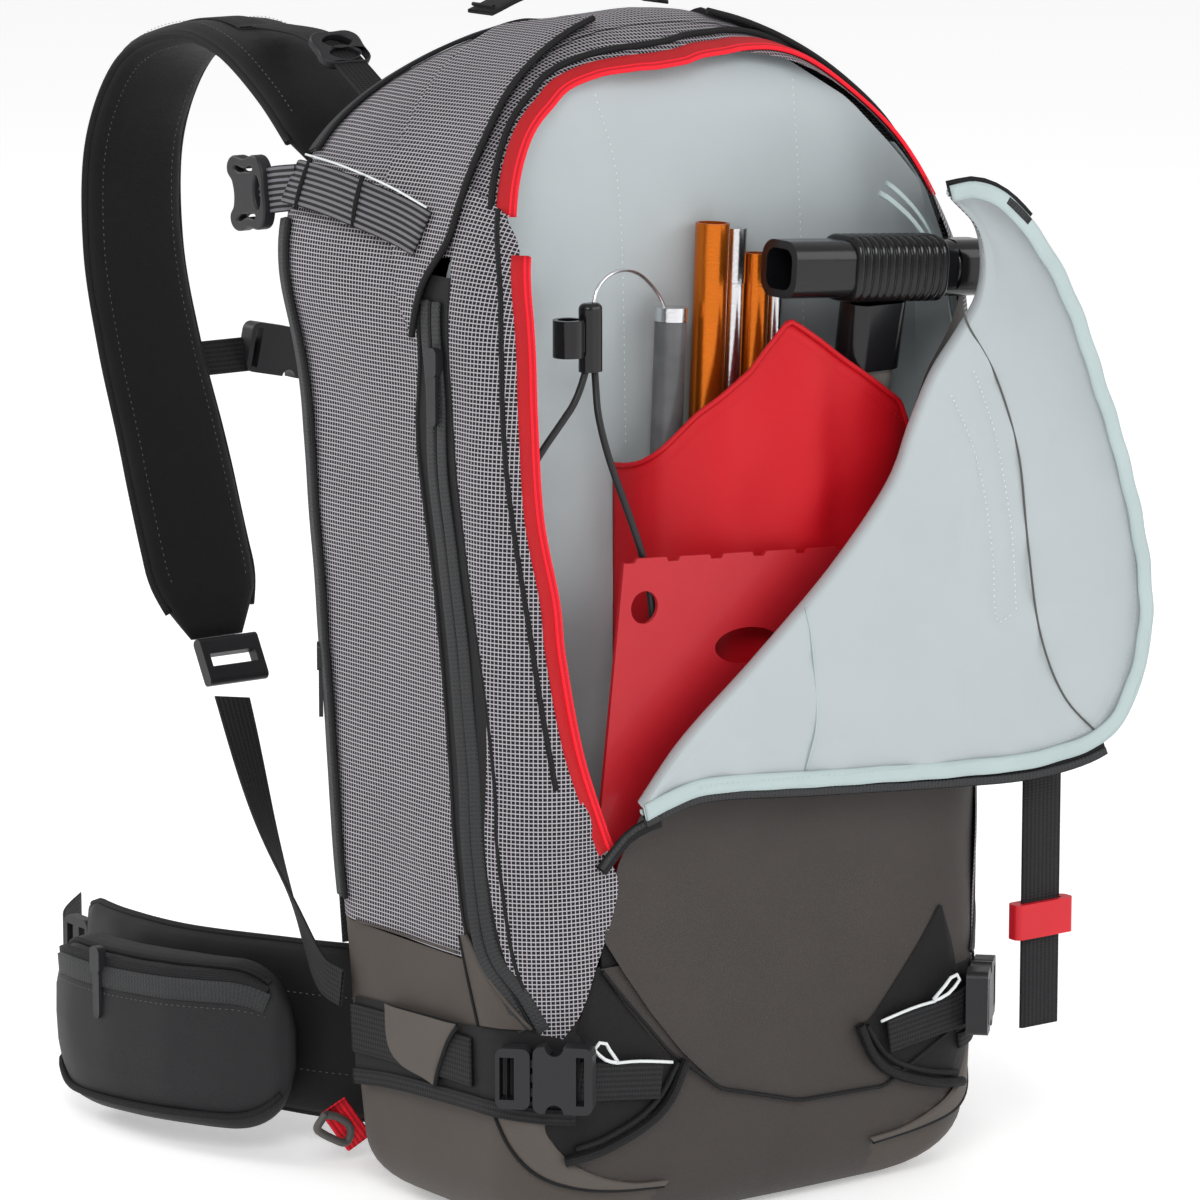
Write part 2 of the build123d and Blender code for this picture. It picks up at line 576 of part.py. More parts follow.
# carry strap that hangs from the outer face of the open flap, and the red hook threaded on it
HANG_X, HANG_Y, HANG_TOP, HANG_LOW, HOOK_Z = 163.0, -119.4, 400.0, 72.0, 128.0
with BuildPart() as hang:
    with BuildSketch(Plane.XY.offset(HANG_LOW)):
        with Locations((HANG_X, HANG_Y)):
            Rectangle(WEB_25, WEB_THICK)
    extrude(amount=HANG_TOP - HANG_LOW)
keep("hang_strap", hang.part)
with BuildPart() as hook:
    with BuildSketch(Plane.XY.offset(HOOK_Z - 9)):
        with Locations((HANG_X, HANG_Y)):
            RectangleRounded(WEB_25 + 12, 9, 3)
            Rectangle(WEB_25 + 1.2, WEB_THICK + 1.2, mode=Mode.SUBTRACT)
    extrude(amount=18)
keep("hang_hook", hook.part)


# ---- zip sliders ----------------------------------------------------------------------------------
def zip_slider(name, plane):
    """A slider and its pull: plane lies on the zip, x across it, y up along it, z outwards."""
    with BuildPart() as slider:
        with BuildSketch(plane):
            RectangleRounded(9, 14, 3)
        extrude(amount=4.6)
        with BuildSketch(plane.offset(1.8)):
            with Locations((0, -17)):
                SlotOverall(28, 6, rotation=90)
        extrude(amount=2)
    keep(name, slider.part)


SIDE_ZIP_OUT = HALF_WIDTH + WEB_THICK + CLEAR
zip_slider("side_zip_slider_left", Plane(origin=(-SIDE_ZIP_OUT, -41, 430), x_dir=(0, -1, 0), z_dir=(-1, 0, 0)))
zip_slider("side_zip_slider_right", Plane(origin=(SIDE_ZIP_OUT, -41, 430), x_dir=(0, 1, 0), z_dir=(1, 0, 0)))
zip_slider("back_zip_slider", Plane(origin=(-142.0, 70.3, 268), x_dir=(-0.571, -0.821, 0), z_dir=(-0.821, 0.571, 0)))
zip_slider("hip_pocket_slider", Plane(origin=(-192.2, 207, 92), x_dir=(0, -1, 0), z_dir=(-1, 0, 0)))
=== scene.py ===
"""Looks of the ski backpack: sewn cloth, webbing, buckles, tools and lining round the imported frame.

Lengths in the helpers are millimetres, in the part's frame; mesh_piece turns them into metres.
"""
import json
import math

import bpy
from mathutils import Matrix, Vector, noise

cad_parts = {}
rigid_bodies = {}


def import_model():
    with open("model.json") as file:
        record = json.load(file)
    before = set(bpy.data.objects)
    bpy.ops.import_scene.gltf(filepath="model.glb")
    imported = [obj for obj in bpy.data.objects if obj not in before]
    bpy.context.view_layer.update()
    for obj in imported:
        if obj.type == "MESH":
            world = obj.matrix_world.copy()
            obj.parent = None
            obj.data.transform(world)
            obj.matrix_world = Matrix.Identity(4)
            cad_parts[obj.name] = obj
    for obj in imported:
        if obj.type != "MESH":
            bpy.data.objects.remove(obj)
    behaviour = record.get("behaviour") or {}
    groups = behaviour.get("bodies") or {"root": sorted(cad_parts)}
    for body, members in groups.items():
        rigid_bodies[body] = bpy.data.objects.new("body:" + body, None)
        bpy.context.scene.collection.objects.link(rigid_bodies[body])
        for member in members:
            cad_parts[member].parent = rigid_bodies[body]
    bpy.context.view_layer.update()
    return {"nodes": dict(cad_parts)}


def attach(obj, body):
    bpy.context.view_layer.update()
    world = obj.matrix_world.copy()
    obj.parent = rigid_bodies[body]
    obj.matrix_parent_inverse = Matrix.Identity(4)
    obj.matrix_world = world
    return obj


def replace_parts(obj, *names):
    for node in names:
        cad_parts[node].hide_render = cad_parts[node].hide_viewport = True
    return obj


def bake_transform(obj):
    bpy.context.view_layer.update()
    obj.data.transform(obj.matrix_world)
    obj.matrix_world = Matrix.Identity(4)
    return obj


MM = 0.001
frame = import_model()

# ---- camera, light and floor ----------------------------------------------------------------------
AIM = Vector((-0.0165, 0.0119, 0.291))
AZIMUTH, ELEVATION, DISTANCE, LENS = math.radians(-36), math.radians(11), 3.0, 180.0


def add_camera():
    """The camera that sees the pack from its front left, a little above it."""
    data = bpy.data.cameras.new("view_camera")
    data.lens, data.sensor_width = LENS, 36.0
    camera = bpy.data.objects.new("view_camera", data)
    away = Vector((math.sin(AZIMUTH) * math.cos(ELEVATION), -math.cos(AZIMUTH) * math.cos(ELEVATION),
                   math.sin(ELEVATION)))
    camera.location = AIM + away * DISTANCE
    camera.rotation_euler = (-away).to_track_quat("-Z", "Y").to_euler()
    bpy.context.scene.collection.objects.link(camera)
    bpy.context.scene.camera = camera


def add_light(name, place, size, energy):
    """A soft square lamp that faces the middle of the pack."""
    data = bpy.data.lights.new(name, "AREA")
    data.shape, data.size, data.energy = "SQUARE", size, energy
    lamp = bpy.data.objects.new(name, data)
    lamp.location = place
    lamp.rotation_euler = (Vector((0, 0, 0.3)) - Vector(place)).to_track_quat("-Z", "Y").to_euler()
    bpy.context.scene.collection.objects.link(lamp)


def add_floor():
    """A pale floor, and a white world so that the background stays plain."""
    mesh = bpy.data.meshes.new("floor")
    mesh.from_pydata([(-30, -30, -0.001), (30, -30, -0.001), (30, 30, -0.001), (-30, 30, -0.001)], [],
                     [(0, 1, 2, 3)])
    floor = bpy.data.objects.new("floor", mesh)
    bpy.context.scene.collection.objects.link(floor)
    material = bpy.data.materials.new("floor_white")
    material.use_nodes = True
    shader = material.node_tree.nodes["Principled BSDF"]
    shader.inputs["Base Color"].default_value = (0.93, 0.93, 0.93, 1)
    shader.inputs["Roughness"].default_value = 0.9
    shader.inputs["Emission Color"].default_value = (1, 1, 1, 1)
    shader.inputs["Emission Strength"].default_value = 0.34
    mesh.materials.append(material)
    world = bpy.data.worlds.new("studio")
    world.use_nodes = True
    tree = world.node_tree
    glow = tree.nodes["Background"]
    glow.inputs["Color"].default_value = (1, 1, 1, 1)
    path = tree.nodes.new("ShaderNodeLightPath")
    level_node = tree.nodes.new("ShaderNodeMapRange")
    level_node.inputs["To Min"].default_value = 0.62
    level_node.inputs["To Max"].default_value = 1.05
    tree.links.new(path.outputs["Is Camera Ray"], level_node.inputs["Value"])
    tree.links.new(level_node.outputs["Result"], glow.inputs["Strength"])
    bpy.context.scene.world = world
    bpy.context.scene.view_settings.view_transform = "Standard"


add_camera()
add_light("key_lamp", (-2.2, -2.6, 2.6), 1.6, 62)
add_light("fill_lamp", (2.4, -2.4, 1.6), 2.2, 34)
add_light("back_lamp", (-1.8, 2.6, 2.2), 1.4, 40)
add_floor()


# ---- materials --------------------------------------------------------------------------------------
class Nodes:
    """A short way to build one material's nodes."""

    def __init__(self, name):
        self.material = bpy.data.materials.new(name)
        self.material.use_nodes = True
        self.tree = self.material.node_tree
        self.shader = self.tree.nodes["Principled BSDF"]

    def join(self, source, target):
        """Links one socket to another."""
        self.tree.links.new(source, target)

    def math(self, operation, first, second=None):
        """The result of one sum on sockets or numbers."""
        node = self.tree.nodes.new("ShaderNodeMath")
        node.operation = operation
        for place, value in enumerate((first, second)):
            if value is None:
                continue
            if isinstance(value, (int, float)):
                node.inputs[place].default_value = value
            else:
                self.join(value, node.inputs[place])
        return node.outputs[0]

    def coordinates(self, uv):
        """The vector, U and V in metres of a sewn piece, or the vector, X and Y of a moulded one."""
        source = self.tree.nodes.new("ShaderNodeTexCoord")
        split = self.tree.nodes.new("ShaderNodeSeparateXYZ")
        self.join(source.outputs["UV" if uv else "Object"], split.inputs[0])
        return source.outputs["UV" if uv else "Object"], split.outputs[0], split.outputs[1]

    def noise(self, vector, scale, detail=3.0):
        """Noise at a scale, in cycles per metre."""
        node = self.tree.nodes.new("ShaderNodeTexNoise")
        node.inputs["Scale"].default_value = scale
        node.inputs["Detail"].default_value = detail
        self.join(vector, node.inputs["Vector"])
        return node.outputs["Fac"]

    def mix(self, share, first, second):
        """A colour between two, by a socket; each is a colour or a socket."""
        node = self.tree.nodes.new("ShaderNodeMix")
        node.data_type = "RGBA"
        self.join(share, node.inputs["Factor"])
        for socket, value in ((node.inputs[6], first), (node.inputs[7], second)):
            if isinstance(value, tuple):
                socket.default_value = (*value, 1)
            else:
                self.join(value, socket)
        return node.outputs[2]

    def bump(self, height, depth, strength=1.0):
        """A bump of a depth in metres into the shader's normal."""
        node = self.tree.nodes.new("ShaderNodeBump")
        node.inputs["Strength"].default_value = strength
        node.inputs["Distance"].default_value = depth
        self.join(height, node.inputs["Height"])
        self.join(node.outputs[0], self.shader.inputs["Normal"])

    def stripes(self, coordinate, pitch, share):
        """1 on a stripe and 0 beside it: stripes of that pitch in metres that fill that share."""
        wave = self.math("FRACT", self.math("DIVIDE", coordinate, pitch))
        distance = self.math("ABSOLUTE", self.math("SUBTRACT", wave, 0.5))
        ramp = self.tree.nodes.new("ShaderNodeMapRange")
        ramp.inputs["From Min"].default_value = 0.5 * share + 0.06
        ramp.inputs["From Max"].default_value = 0.5 * share - 0.06
        self.join(distance, ramp.inputs["Value"])
        return ramp.outputs["Result"]


def grid_cloth(name, line, ground):
    """Ripstop with a woven check of pale lines on a dark ground."""
    pitch, share = 0.0021, 0.235
    m = Nodes(name)
    vector, u, v = m.coordinates(True)
    across = m.stripes(u, pitch, share * 0.8)
    along = m.stripes(v, pitch, share)
    lines = m.math("MAXIMUM", across, along)
    worn = m.mix(m.noise(vector, 26, 2), tuple(0.86 * c for c in line), line)
    m.join(m.mix(lines, ground, worn), m.shader.inputs["Base Color"])
    m.shader.inputs["Roughness"].default_value = 0.62
    m.shader.inputs["Specular IOR Level"].default_value = 0.2
    m.bump(m.math("ADD", m.math("MULTIPLY", lines, 0.4), m.noise(vector, 60, 2)), 0.0006, 0.6)
    return m.material


def plain_cloth(name, colour, shade=0.72, rough=0.6, weave=0.0009, depth=0.0002, sheen=0.0):
    """Plain woven cloth: fine crossed threads, with a slow change of tone."""
    m = Nodes(name)
    vector, u, v = m.coordinates(True)
    tone = m.mix(m.noise(vector, 22, 4), tuple(shade * c for c in colour), colour)
    threads = m.math("MULTIPLY", m.math("SINE", m.math("MULTIPLY", u, 2 * math.pi / weave)),
                     m.math("SINE", m.math("MULTIPLY", v, 2 * math.pi / weave)))
    fine = m.math("ADD", m.math("MULTIPLY", threads, 0.5), 0.5)
    m.join(m.mix(m.math("MULTIPLY", fine, 0.22), tone, tuple(0.6 * c for c in colour)),
           m.shader.inputs["Base Color"])
    m.shader.inputs["Roughness"].default_value = rough
    m.shader.inputs["Specular IOR Level"].default_value = 0.22
    m.shader.inputs["Sheen Weight"].default_value = sheen
    m.bump(m.math("ADD", fine, m.math("MULTIPLY", m.noise(vector, 90, 3), 1.4)), depth, 0.7)
    return m.material


def webbing(name, colour, stripe=None, pitch=0.0026):
    """Woven tape: ribs along its length, which is V, and a cross weave."""
    m = Nodes(name)
    _, u, v = m.coordinates(True)
    ribs = m.stripes(u, pitch, 0.5)
    weave = m.math("SINE", m.math("MULTIPLY", v, 2 * math.pi / 0.0016))
    pale = stripe or tuple(1.7 * c for c in colour)
    m.join(m.mix(ribs, colour, pale), m.shader.inputs["Base Color"])
    m.shader.inputs["Roughness"].default_value = 0.7
    m.shader.inputs["Specular IOR Level"].default_value = 0.2
    m.bump(m.math("ADD", ribs, m.math("MULTIPLY", weave, 0.4)), 0.0003, 0.8)
    return m.material


def moulded(name, colour, rough=0.38, coat=0.0, metallic=0.0, speck=0.1):
    """Moulded plastic or coated metal, with faint mottling and orange-peel bump."""
    m = Nodes(name)
    vector, _, _ = m.coordinates(False)
    tone = m.mix(m.noise(vector, 60, 4), tuple((1 - speck) * c for c in colour),
                 tuple(min(1, (1 + speck) * c) for c in colour))
    m.join(tone, m.shader.inputs["Base Color"])
    ramp = m.tree.nodes.new("ShaderNodeMapRange")
    ramp.inputs["To Min"].default_value = rough * 0.85
    ramp.inputs["To Max"].default_value = rough * 1.2
    m.join(m.noise(vector, 140, 3), ramp.inputs["Value"])
    m.join(ramp.outputs["Result"], m.shader.inputs["Roughness"])
    m.shader.inputs["Metallic"].default_value = metallic
    m.shader.inputs["Coat Weight"].default_value = coat
    m.shader.inputs["Specular IOR Level"].default_value = 0.32
    m.bump(m.noise(vector, 900, 2), 0.00012, 0.5)
    return m.material


def zip_tape(name, colour, tooth):
    """Zip tape with two rows of fine teeth along V, and a herringbone tape each side."""
    m = Nodes(name)
    _, u, v = m.coordinates(True)
    teeth = m.stripes(v, 0.0021, 0.5)
    tape = m.math("SINE", m.math("MULTIPLY", m.math("ADD", u, v), 2 * math.pi / 0.0022))
    middle = m.stripes(m.math("ADD", u, 0.5), 1.0, 0.012)
    m.join(m.mix(m.math("MULTIPLY", teeth, middle), colour, tooth), m.shader.inputs["Base Color"])
    m.shader.inputs["Roughness"].default_value = 0.66
    m.bump(m.math("ADD", m.math("MULTIPLY", teeth, middle), m.math("MULTIPLY", tape, 0.3)), 0.0005, 0.9)
    return m.material


MATERIAL = {
    "grid": grid_cloth("grid_ripstop", (0.50, 0.47, 0.51), (0.008, 0.008, 0.010)),
    "boot": plain_cloth("taupe_boot_cloth", (0.084, 0.0705, 0.061), rough=0.55),
    "patch": plain_cloth("taupe_patch_cloth", (0.112, 0.096, 0.085), rough=0.55),
    "brown": plain_cloth("brown_front_cloth", (0.058, 0.0495, 0.046), rough=0.5),
    "black": plain_cloth("black_pack_cloth", (0.012, 0.012, 0.013), rough=0.62),
    # The darkest black is the pads' cloth, and also painted shade on the recess at the foot of the bag.
    "pad": plain_cloth("black_pad_and_recess_shade_cloth", (0.0052, 0.0050, 0.0058), rough=0.6, sheen=0.03),
    "pocket": plain_cloth("black_pocket_cloth", (0.022, 0.021, 0.023), rough=0.55),
    "lining": plain_cloth("grey_lining_cloth", (0.455, 0.50, 0.515), shade=0.93, rough=0.42, weave=0.0005,
                          depth=0.00008),
    "lining_edge": plain_cloth("grey_lining_binding", (0.50, 0.60, 0.60), shade=0.8, rough=0.5),
    "red": plain_cloth("red_sleeve_cloth", (0.60, 0.008, 0.016), shade=0.86, rough=0.36, weave=0.0006,
                       depth=0.0001),
    "webbing": webbing("black_webbing", (0.012, 0.012, 0.013)),
    "striped": webbing("striped_webbing", (0.016, 0.016, 0.018), stripe=(0.17, 0.165, 0.18), pitch=0.0029),
    "red_web": webbing("red_webbing", (0.55, 0.01, 0.02)),
    "binding": webbing("black_binding", (0.010, 0.010, 0.011), pitch=0.0012),
    "zip": zip_tape("black_zip_tape", (0.022, 0.023, 0.025), (0.009, 0.009, 0.010)),
    "red_zip": plain_cloth("red_zip_tape", (0.55, 0.010, 0.016), rough=0.5),
    "thread": moulded("white_thread", (0.72, 0.75, 0.75), rough=0.7),
    "plastic": moulded("black_moulded_plastic", (0.016, 0.016, 0.018), rough=0.42),
    "grey_plastic": moulded("grey_moulded_plastic", (0.085, 0.082, 0.078), rough=0.45),
    "gloss": moulded("gloss_black_plastic", (0.006, 0.006, 0.007), rough=0.2, coat=0.1),
    "red_plastic": moulded("red_moulded_plastic", (0.56, 0.012, 0.022), rough=0.4),
    "sheet": moulded("frame_sheet_plastic", (0.03, 0.03, 0.032), rough=0.6),
    "silver": moulded("polished_alloy", (0.72, 0.72, 0.74), rough=0.2, metallic=1.0, speck=0.03),
    "orange": moulded("orange_anodised_alloy", (0.66, 0.16, 0.014), rough=0.24, metallic=0.85, speck=0.05),
    "red_metal": moulded("red_coated_alloy", (0.44, 0.010, 0.018), rough=0.46, coat=0.1, speck=0.06),
    "carbon": moulded("grey_carbon_tube", (0.10, 0.10, 0.105), rough=0.4, coat=0.3, speck=0.7),
    "bare_plastic": moulded("pale_grey_plastic", (0.20, 0.19, 0.175), rough=0.4),
}

# ---- the bag's form: depth w round the section, arc length a along its outline -----------------------
HEIGHT, HALF_WIDTH, FRONT = 583.0, 148.0, 108.0
CORNER, BACK_CORNER = 38.0, 34.0
SHOULDER_SWELL, SWELL_LOW, SWELL_HIGH = 12.5, 390, 575
BACK_FOOT, BACK_LEAN, BACK_TOP = 58.0, 0.106, 500.0
ARCH_START, FRONT_START = 440.0, 300.0


def foot_round(z, foot):
    """1 above the rounded foot of the bag, less inside it."""
    return 1 - 0.24 * (1 - math.sqrt(1 - (1 - min(max(z, 0.0), foot) / foot) ** 2))


def half_width(z):
    """Half the bag's width at a height."""
    arch = min(1.0, max(0.0, (z - ARCH_START) / (HEIGHT + 3 - ARCH_START)))
    low = foot_round(z, 30.0) * (0.965 + 0.035 * min(z, 200.0) / 200.0)
    return HALF_WIDTH * low * math.sqrt(1 - arch**2)


def front_y(z):
    """The front face's Y at a height."""
    curve = min(1.0, max(0.0, (z - FRONT_START) / (HEIGHT + 10 - FRONT_START)))
    return -FRONT * foot_round(z, 34.0) * math.sqrt(1 - curve**2)


def back_y(z):
    """The back face's Y at a height."""
    low = 14.0 * (1 - math.sqrt(1 - (1 - min(max(z, 0.0), 20.0) / 20.0) ** 2))
    flat = BACK_FOOT + BACK_LEAN * min(z, BACK_TOP) - low
    over = min(1.0, max(0.0, (z - BACK_TOP) / (HEIGHT + 3 - BACK_TOP)))
    return 30.0 + (flat - 30.0) * math.sqrt(1 - over**2)


def outline_table():
    """Arc length, x and z along the left half of the outline, from the middle of the base to the top."""
    places = [(0.0, 0.0), (-60.0, 0.0)]
    places += [(-half_width(z), z) for z in [0.3 * k * k for k in range(10)]]
    places += [(-half_width(z), float(z)) for z in range(30, 583, 4)]
    places += [(-half_width(583.0), 583.0), (0.0, 585.5)]
    table, run = [], 0.0
    for here, before in zip(places, [places[0]] + places):
        run += math.hypot(here[0] - before[0], here[1] - before[1])
        table.append((run, here[0], here[1]))
    return table


OUTLINE = outline_table()
TOP = OUTLINE[-1][0]


def outline(a):
    """x, z and outward normal of the outline at arc length a; past the top it goes down the right side."""
    side = 1.0
    if a > TOP:
        a, side = 2 * TOP - a, -1.0
    a = min(max(a, 0.0), TOP)
    low, high = 0, len(OUTLINE) - 1
    while high - low > 1:
        middle = (low + high) // 2
        low, high = (middle, high) if OUTLINE[middle][0] <= a else (low, middle)
    (a0, x0, z0), (a1, x1, z1) = OUTLINE[low], OUTLINE[high]
    share = (a - a0) / (a1 - a0)
    dx, dz = (x1 - x0) / (a1 - a0), (z1 - z0) / (a1 - a0)
    return side * (x0 + share * (x1 - x0)), z0 + share * (z1 - z0), -side * dz, dx


def level(z):
    """Arc length of the height z on the left side."""
    for (a0, _, z0), (a1, _, z1) in zip(OUTLINE, OUTLINE[1:]):
        if z0 <= z <= z1 and z1 > z0:
            return a0 + (z - z0) / (z1 - z0) * (a1 - a0)
    return TOP


def place(a, w):
    """The cloth's point at outline length a and depth w: -y on the sides, running on round corners."""
    x, z, nx, nz = outline(a)
    front, back = front_y(z), back_y(z)
    inset = 0.0
    if w > -(front + CORNER):
        turn = (w + front + CORNER) / CORNER
        inset = CORNER * (1 - math.cos(turn)) if turn < math.pi / 2 else CORNER * (1 + turn - math.pi / 2)
        z -= inset * nz
        y = front_y(z) + CORNER * (1 - math.sin(min(turn, math.pi / 2)))
    elif w < BACK_CORNER - back:
        turn = (BACK_CORNER - back - w) / BACK_CORNER
        inset = BACK_CORNER * (1 - math.cos(turn)) if turn < math.pi / 2 else BACK_CORNER * (1 + turn
            - math.pi / 2)
        z -= inset * nz
        y = back_y(z) - BACK_CORNER * (1 - math.sin(min(turn, math.pi / 2)))
    else:
        y = -w
    x -= inset * nx
    if SWELL_LOW < z < SWELL_HIGH:
        back_share = min(1.0, max(0.0, (24 - w) / 80))
        swell = math.sin(math.pi * ((z - SWELL_LOW) / (SWELL_HIGH - SWELL_LOW)) ** 1.25) ** 1.3
        x += math.copysign(SHOULDER_SWELL, x) * swell * back_share**2 * (3 - 2 * back_share)
    return Vector((x, y, z))


def normal(a, w):
    """The outward normal of the cloth there."""
    along = place(min(a + 1.5, 2 * TOP - 1), w) - place(max(a - 1.5, 1), w)
    across = place(a, w + 1.5) - place(a, w - 1.5)
    out = across.cross(along)
    here = place(a, w) - Vector((0, -20, 280))
    if out.length < 1e-6:
        return here.normalized()
    out.normalize()
    return out if out.dot(here) > 0 else -out


def crinkle(point, size, height):
    """A soft random swell at a point in millimetres."""
    return height * noise.noise(Vector(point) / size)


def lift(a, w, out=0.0, size=46.0, height=1.1):
    """A point of the cloth lifted off the bag, with slight creases."""
    base = place(a, w)
    return base + normal(a, w) * (out + crinkle(base, size, height))


def between(table, value):
    """The second number of a table of pairs, read at a value of the first."""
    if value <= table[0][0]:
        return table[0][1]
    for (a, b), (c, d) in zip(table, table[1:]):
        if a <= value <= c:
            return b + (d - b) * (value - a) / (c - a)
    return table[-1][1]


# ---- mesh helpers -----------------------------------------------------------------------------------
def mesh_piece(name, points, faces, materials, body, uvs=None, choose=None, smooth=True):
    """A mesh from points in millimetres, with UVs in metres, that rides on a body of the frame."""
    mesh = bpy.data.meshes.new(name)
    mesh.from_pydata([tuple(Vector(p) * MM) for p in points], [], faces)
    if uvs:
        layer = mesh.uv_layers.new(name="UVMap")
        for loop in mesh.loops:
            layer.data[loop.index].uv = [MM * value for value in uvs[loop.vertex_index]]
    for key in [materials] if isinstance(materials, str) else materials:
        mesh.materials.append(MATERIAL[key])
    if choose:
        for polygon in mesh.polygons:
            polygon.material_index = choose[polygon.index]
    if smooth:
        mesh.polygons.foreach_set("use_smooth", [True] * len(mesh.polygons))
    mesh.update()
    obj = bpy.data.objects.new(name, mesh)
    bpy.context.scene.collection.objects.link(obj)
    if body:
        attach(obj, body)
    return obj


def vectors(points):
    """The points as vectors."""
    return [Vector(p) for p in points]


def facing(direction, line):
    """One direction for every point of a line."""
    return [Vector(direction)] * len(line)


def run_of(points):
    """The length of a line of points."""
    return sum((Vector(q) - Vector(p)).length for p, q in zip(points, points[1:]))


def bulged(value, power):
    """A sine or cosine raised to a power with its sign kept, which squares a circle's section."""
    return math.copysign(abs(value) ** power, value)


def grid_faces(rows, columns, closed=False):
    """Quads of a grid of rows by columns, closed round the columns or open."""
    faces = []
    last = columns if closed else columns - 1
    for i in range(rows - 1):
        for j in range(last):
            k = (j + 1) % columns
            faces.append((i * columns + j, i * columns + k, (i + 1) * columns + k, (i + 1) * columns + j))
    return faces


def smooth_line(points, count):
    """count points evenly along a smooth curve through the given ones, of any dimension."""
    points = [Vector(p) for p in points]
    if len(points) == 2:
        return [points[0].lerp(points[1], k / (count - 1)) for k in range(count)]
    fine = []
    ends = [2 * points[0] - points[1]] + points + [2 * points[-1] - points[-2]]
    for p0, p1, p2, p3 in zip(ends, ends[1:], ends[2:], ends[3:]):
        for k in range(12):
            t = k / 12
            fine.append(0.5 * (2 * p1 + (p2 - p0) * t + (2 * p0 - 5 * p1 + 4 * p2 - p3) * t * t
                               + (3 * p1 - p0 - 3 * p2 + p3) * t * t * t))
    fine.append(points[-1])
    runs = [0.0]
    for here, there in zip(fine, fine[1:]):
        runs.append(runs[-1] + (there - here).length)
    line, k = [], 0
    for index in range(count):
        goal = runs[-1] * index / (count - 1)
        while k < len(fine) - 2 and runs[k + 1] < goal:
            k += 1
        span = runs[k + 1] - runs[k]
        line.append(fine[k].lerp(fine[k + 1], (goal - runs[k]) / span if span else 0))
    return line


def patch(name, first, second, material, out=0.0, rows=90, columns=24, height=1.1):
    """A cloth panel between two lines of (a, w) on the bag."""
    left, right = smooth_line(first, rows), smooth_line(second, rows)
    points, uvs = [], []
    for here, there in zip(left, right):
        for j in range(columns):
            share = j / (columns - 1)
            a, w = here.lerp(there, share)
            points.append(lift(a, w, out, height=height))
            uvs.append((w, a))
    return mesh_piece(name, points, grid_faces(rows, columns), material, "pack", uvs)


def frames(line):
    """Direction and two normals at each point of a line, turned as little as possible."""
    result, side = [], None
    for k in range(len(line)):
        ahead = (line[min(k + 1, len(line) - 1)] - line[max(k - 1, 0)]).normalized()
        if side is None:
            start = Vector((0, 0, 1)) if abs(ahead.z) < 0.8 else Vector((0, 1, 0))
            side = start.cross(ahead).normalized()
        side = (side - ahead * side.dot(ahead)).normalized()
        result.append((ahead, side, ahead.cross(side).normalized()))
    return result


def tube(name, points, radius, material, body="pack", count=None, flat=1.0):
    """A piping or cord of round section along smooth points in millimetres."""
    sides = 8
    length = run_of(points)
    line = smooth_line(points, count or max(8, int(length / 4)))
    rings, uvs, run = [], [], 0.0
    for k, (point, (_, side, up)) in enumerate(zip(line, frames(line))):
        run += (point - line[k - 1]).length if k else 0.0
        for j in range(sides):
            turn = 2 * math.pi * j / sides
            rings.append(point + radius * (math.cos(turn) * side + flat * math.sin(turn) * up))
            uvs.append((radius * turn, run))
    faces = grid_faces(len(line), sides, True)
    faces += [tuple(range(sides)), tuple(range((len(line) - 1) * sides, len(line) * sides))]
    return mesh_piece(name, rings, faces, material, body, uvs)


def on_bag(points, out):
    """Points (a, w) of the bag as points in space, lifted by out."""
    return [lift(a, w, out) for a, w in points]


def seam(name, points, out=0.8, radius=1.5, material="binding"):
    """Piping along a line of (a, w) on the bag."""
    fine = smooth_line(points, max(6, int(run_of(points) / 6)))
    return tube(name, on_bag([tuple(p) for p in fine], out), radius, material)


def band(name, line, normals, width, thick, material, body="pack", count=None):
    """A flat tape of that width along points, its broad face out along the normals."""
    number = count or max(6, int(run_of(line) / 5))
    line, normals = smooth_line(line, number), smooth_line(normals, number)
    points, uvs, run = [], [], 0.0
    section = ((-0.5, -0.35), (-0.46, 0.5), (-0.2, 0.5), (0, 0.5), (0.2, 0.5), (0.46, 0.5), (0.5, -0.35),
               (0.46, -0.5), (-0.46, -0.5))
    for k, (point, out) in enumerate(zip(line, normals)):
        ahead = (line[min(k + 1, number - 1)] - line[max(k - 1, 0)]).normalized()
        out = (out - ahead * out.dot(ahead)).normalized()
        across = ahead.cross(out)
        run += (point - line[k - 1]).length if k else 0.0
        for u, v in section:
            points.append(point + across * (u * width) + out * (v * thick))
            uvs.append((u * width, run))
    faces = grid_faces(number, len(section), True)
    faces += [tuple(range(len(section))), tuple(range((number - 1) * len(section), number * len(section)))]
    return mesh_piece(name, points, faces, material, body, uvs)


def bag_band(name, points, width, thick, material, out=1.0):
    """A tape sewn on the bag along a line of (a, w)."""
    fine = [tuple(p) for p in smooth_line(points, max(6, int(run_of(points) / 7)))]
    return band(name, on_bag(fine, out), [normal(a, w) for a, w in fine], width, thick, material)


def stitches(name, line, normals, body, gap=3.2, length=2.0, radius=0.4, material="thread"):
    """Short raised threads in a row along points in millimetres."""
    total = run_of(line)
    count = max(3, int(total / gap)) * 2
    fine, out = smooth_line(line, count), smooth_line(normals, count)
    points, faces = [], []
    for k in range(0, count - 1, 2):
        a = fine[k] + out[k] * radius
        b = fine[k].lerp(fine[k + 1], min(1.0, 2 * length / gap)) + out[k] * radius
        ahead = (b - a).normalized()
        across = ahead.cross(out[k]).normalized() * radius
        rise = out[k] * radius * 0.9
        base = len(points)
        middle = (a + b) / 2
        points += [a - rise, middle + across, b - rise, middle - across, middle + rise]
        faces += [(base, base + 1, base + 4), (base + 1, base + 2, base + 4),
                  (base + 2, base + 3, base + 4), (base + 3, base, base + 4)]
    return mesh_piece(name, points, faces, material, body, smooth=False)

# ---- the bag's cloth ----------------------------------------------------------------------------------


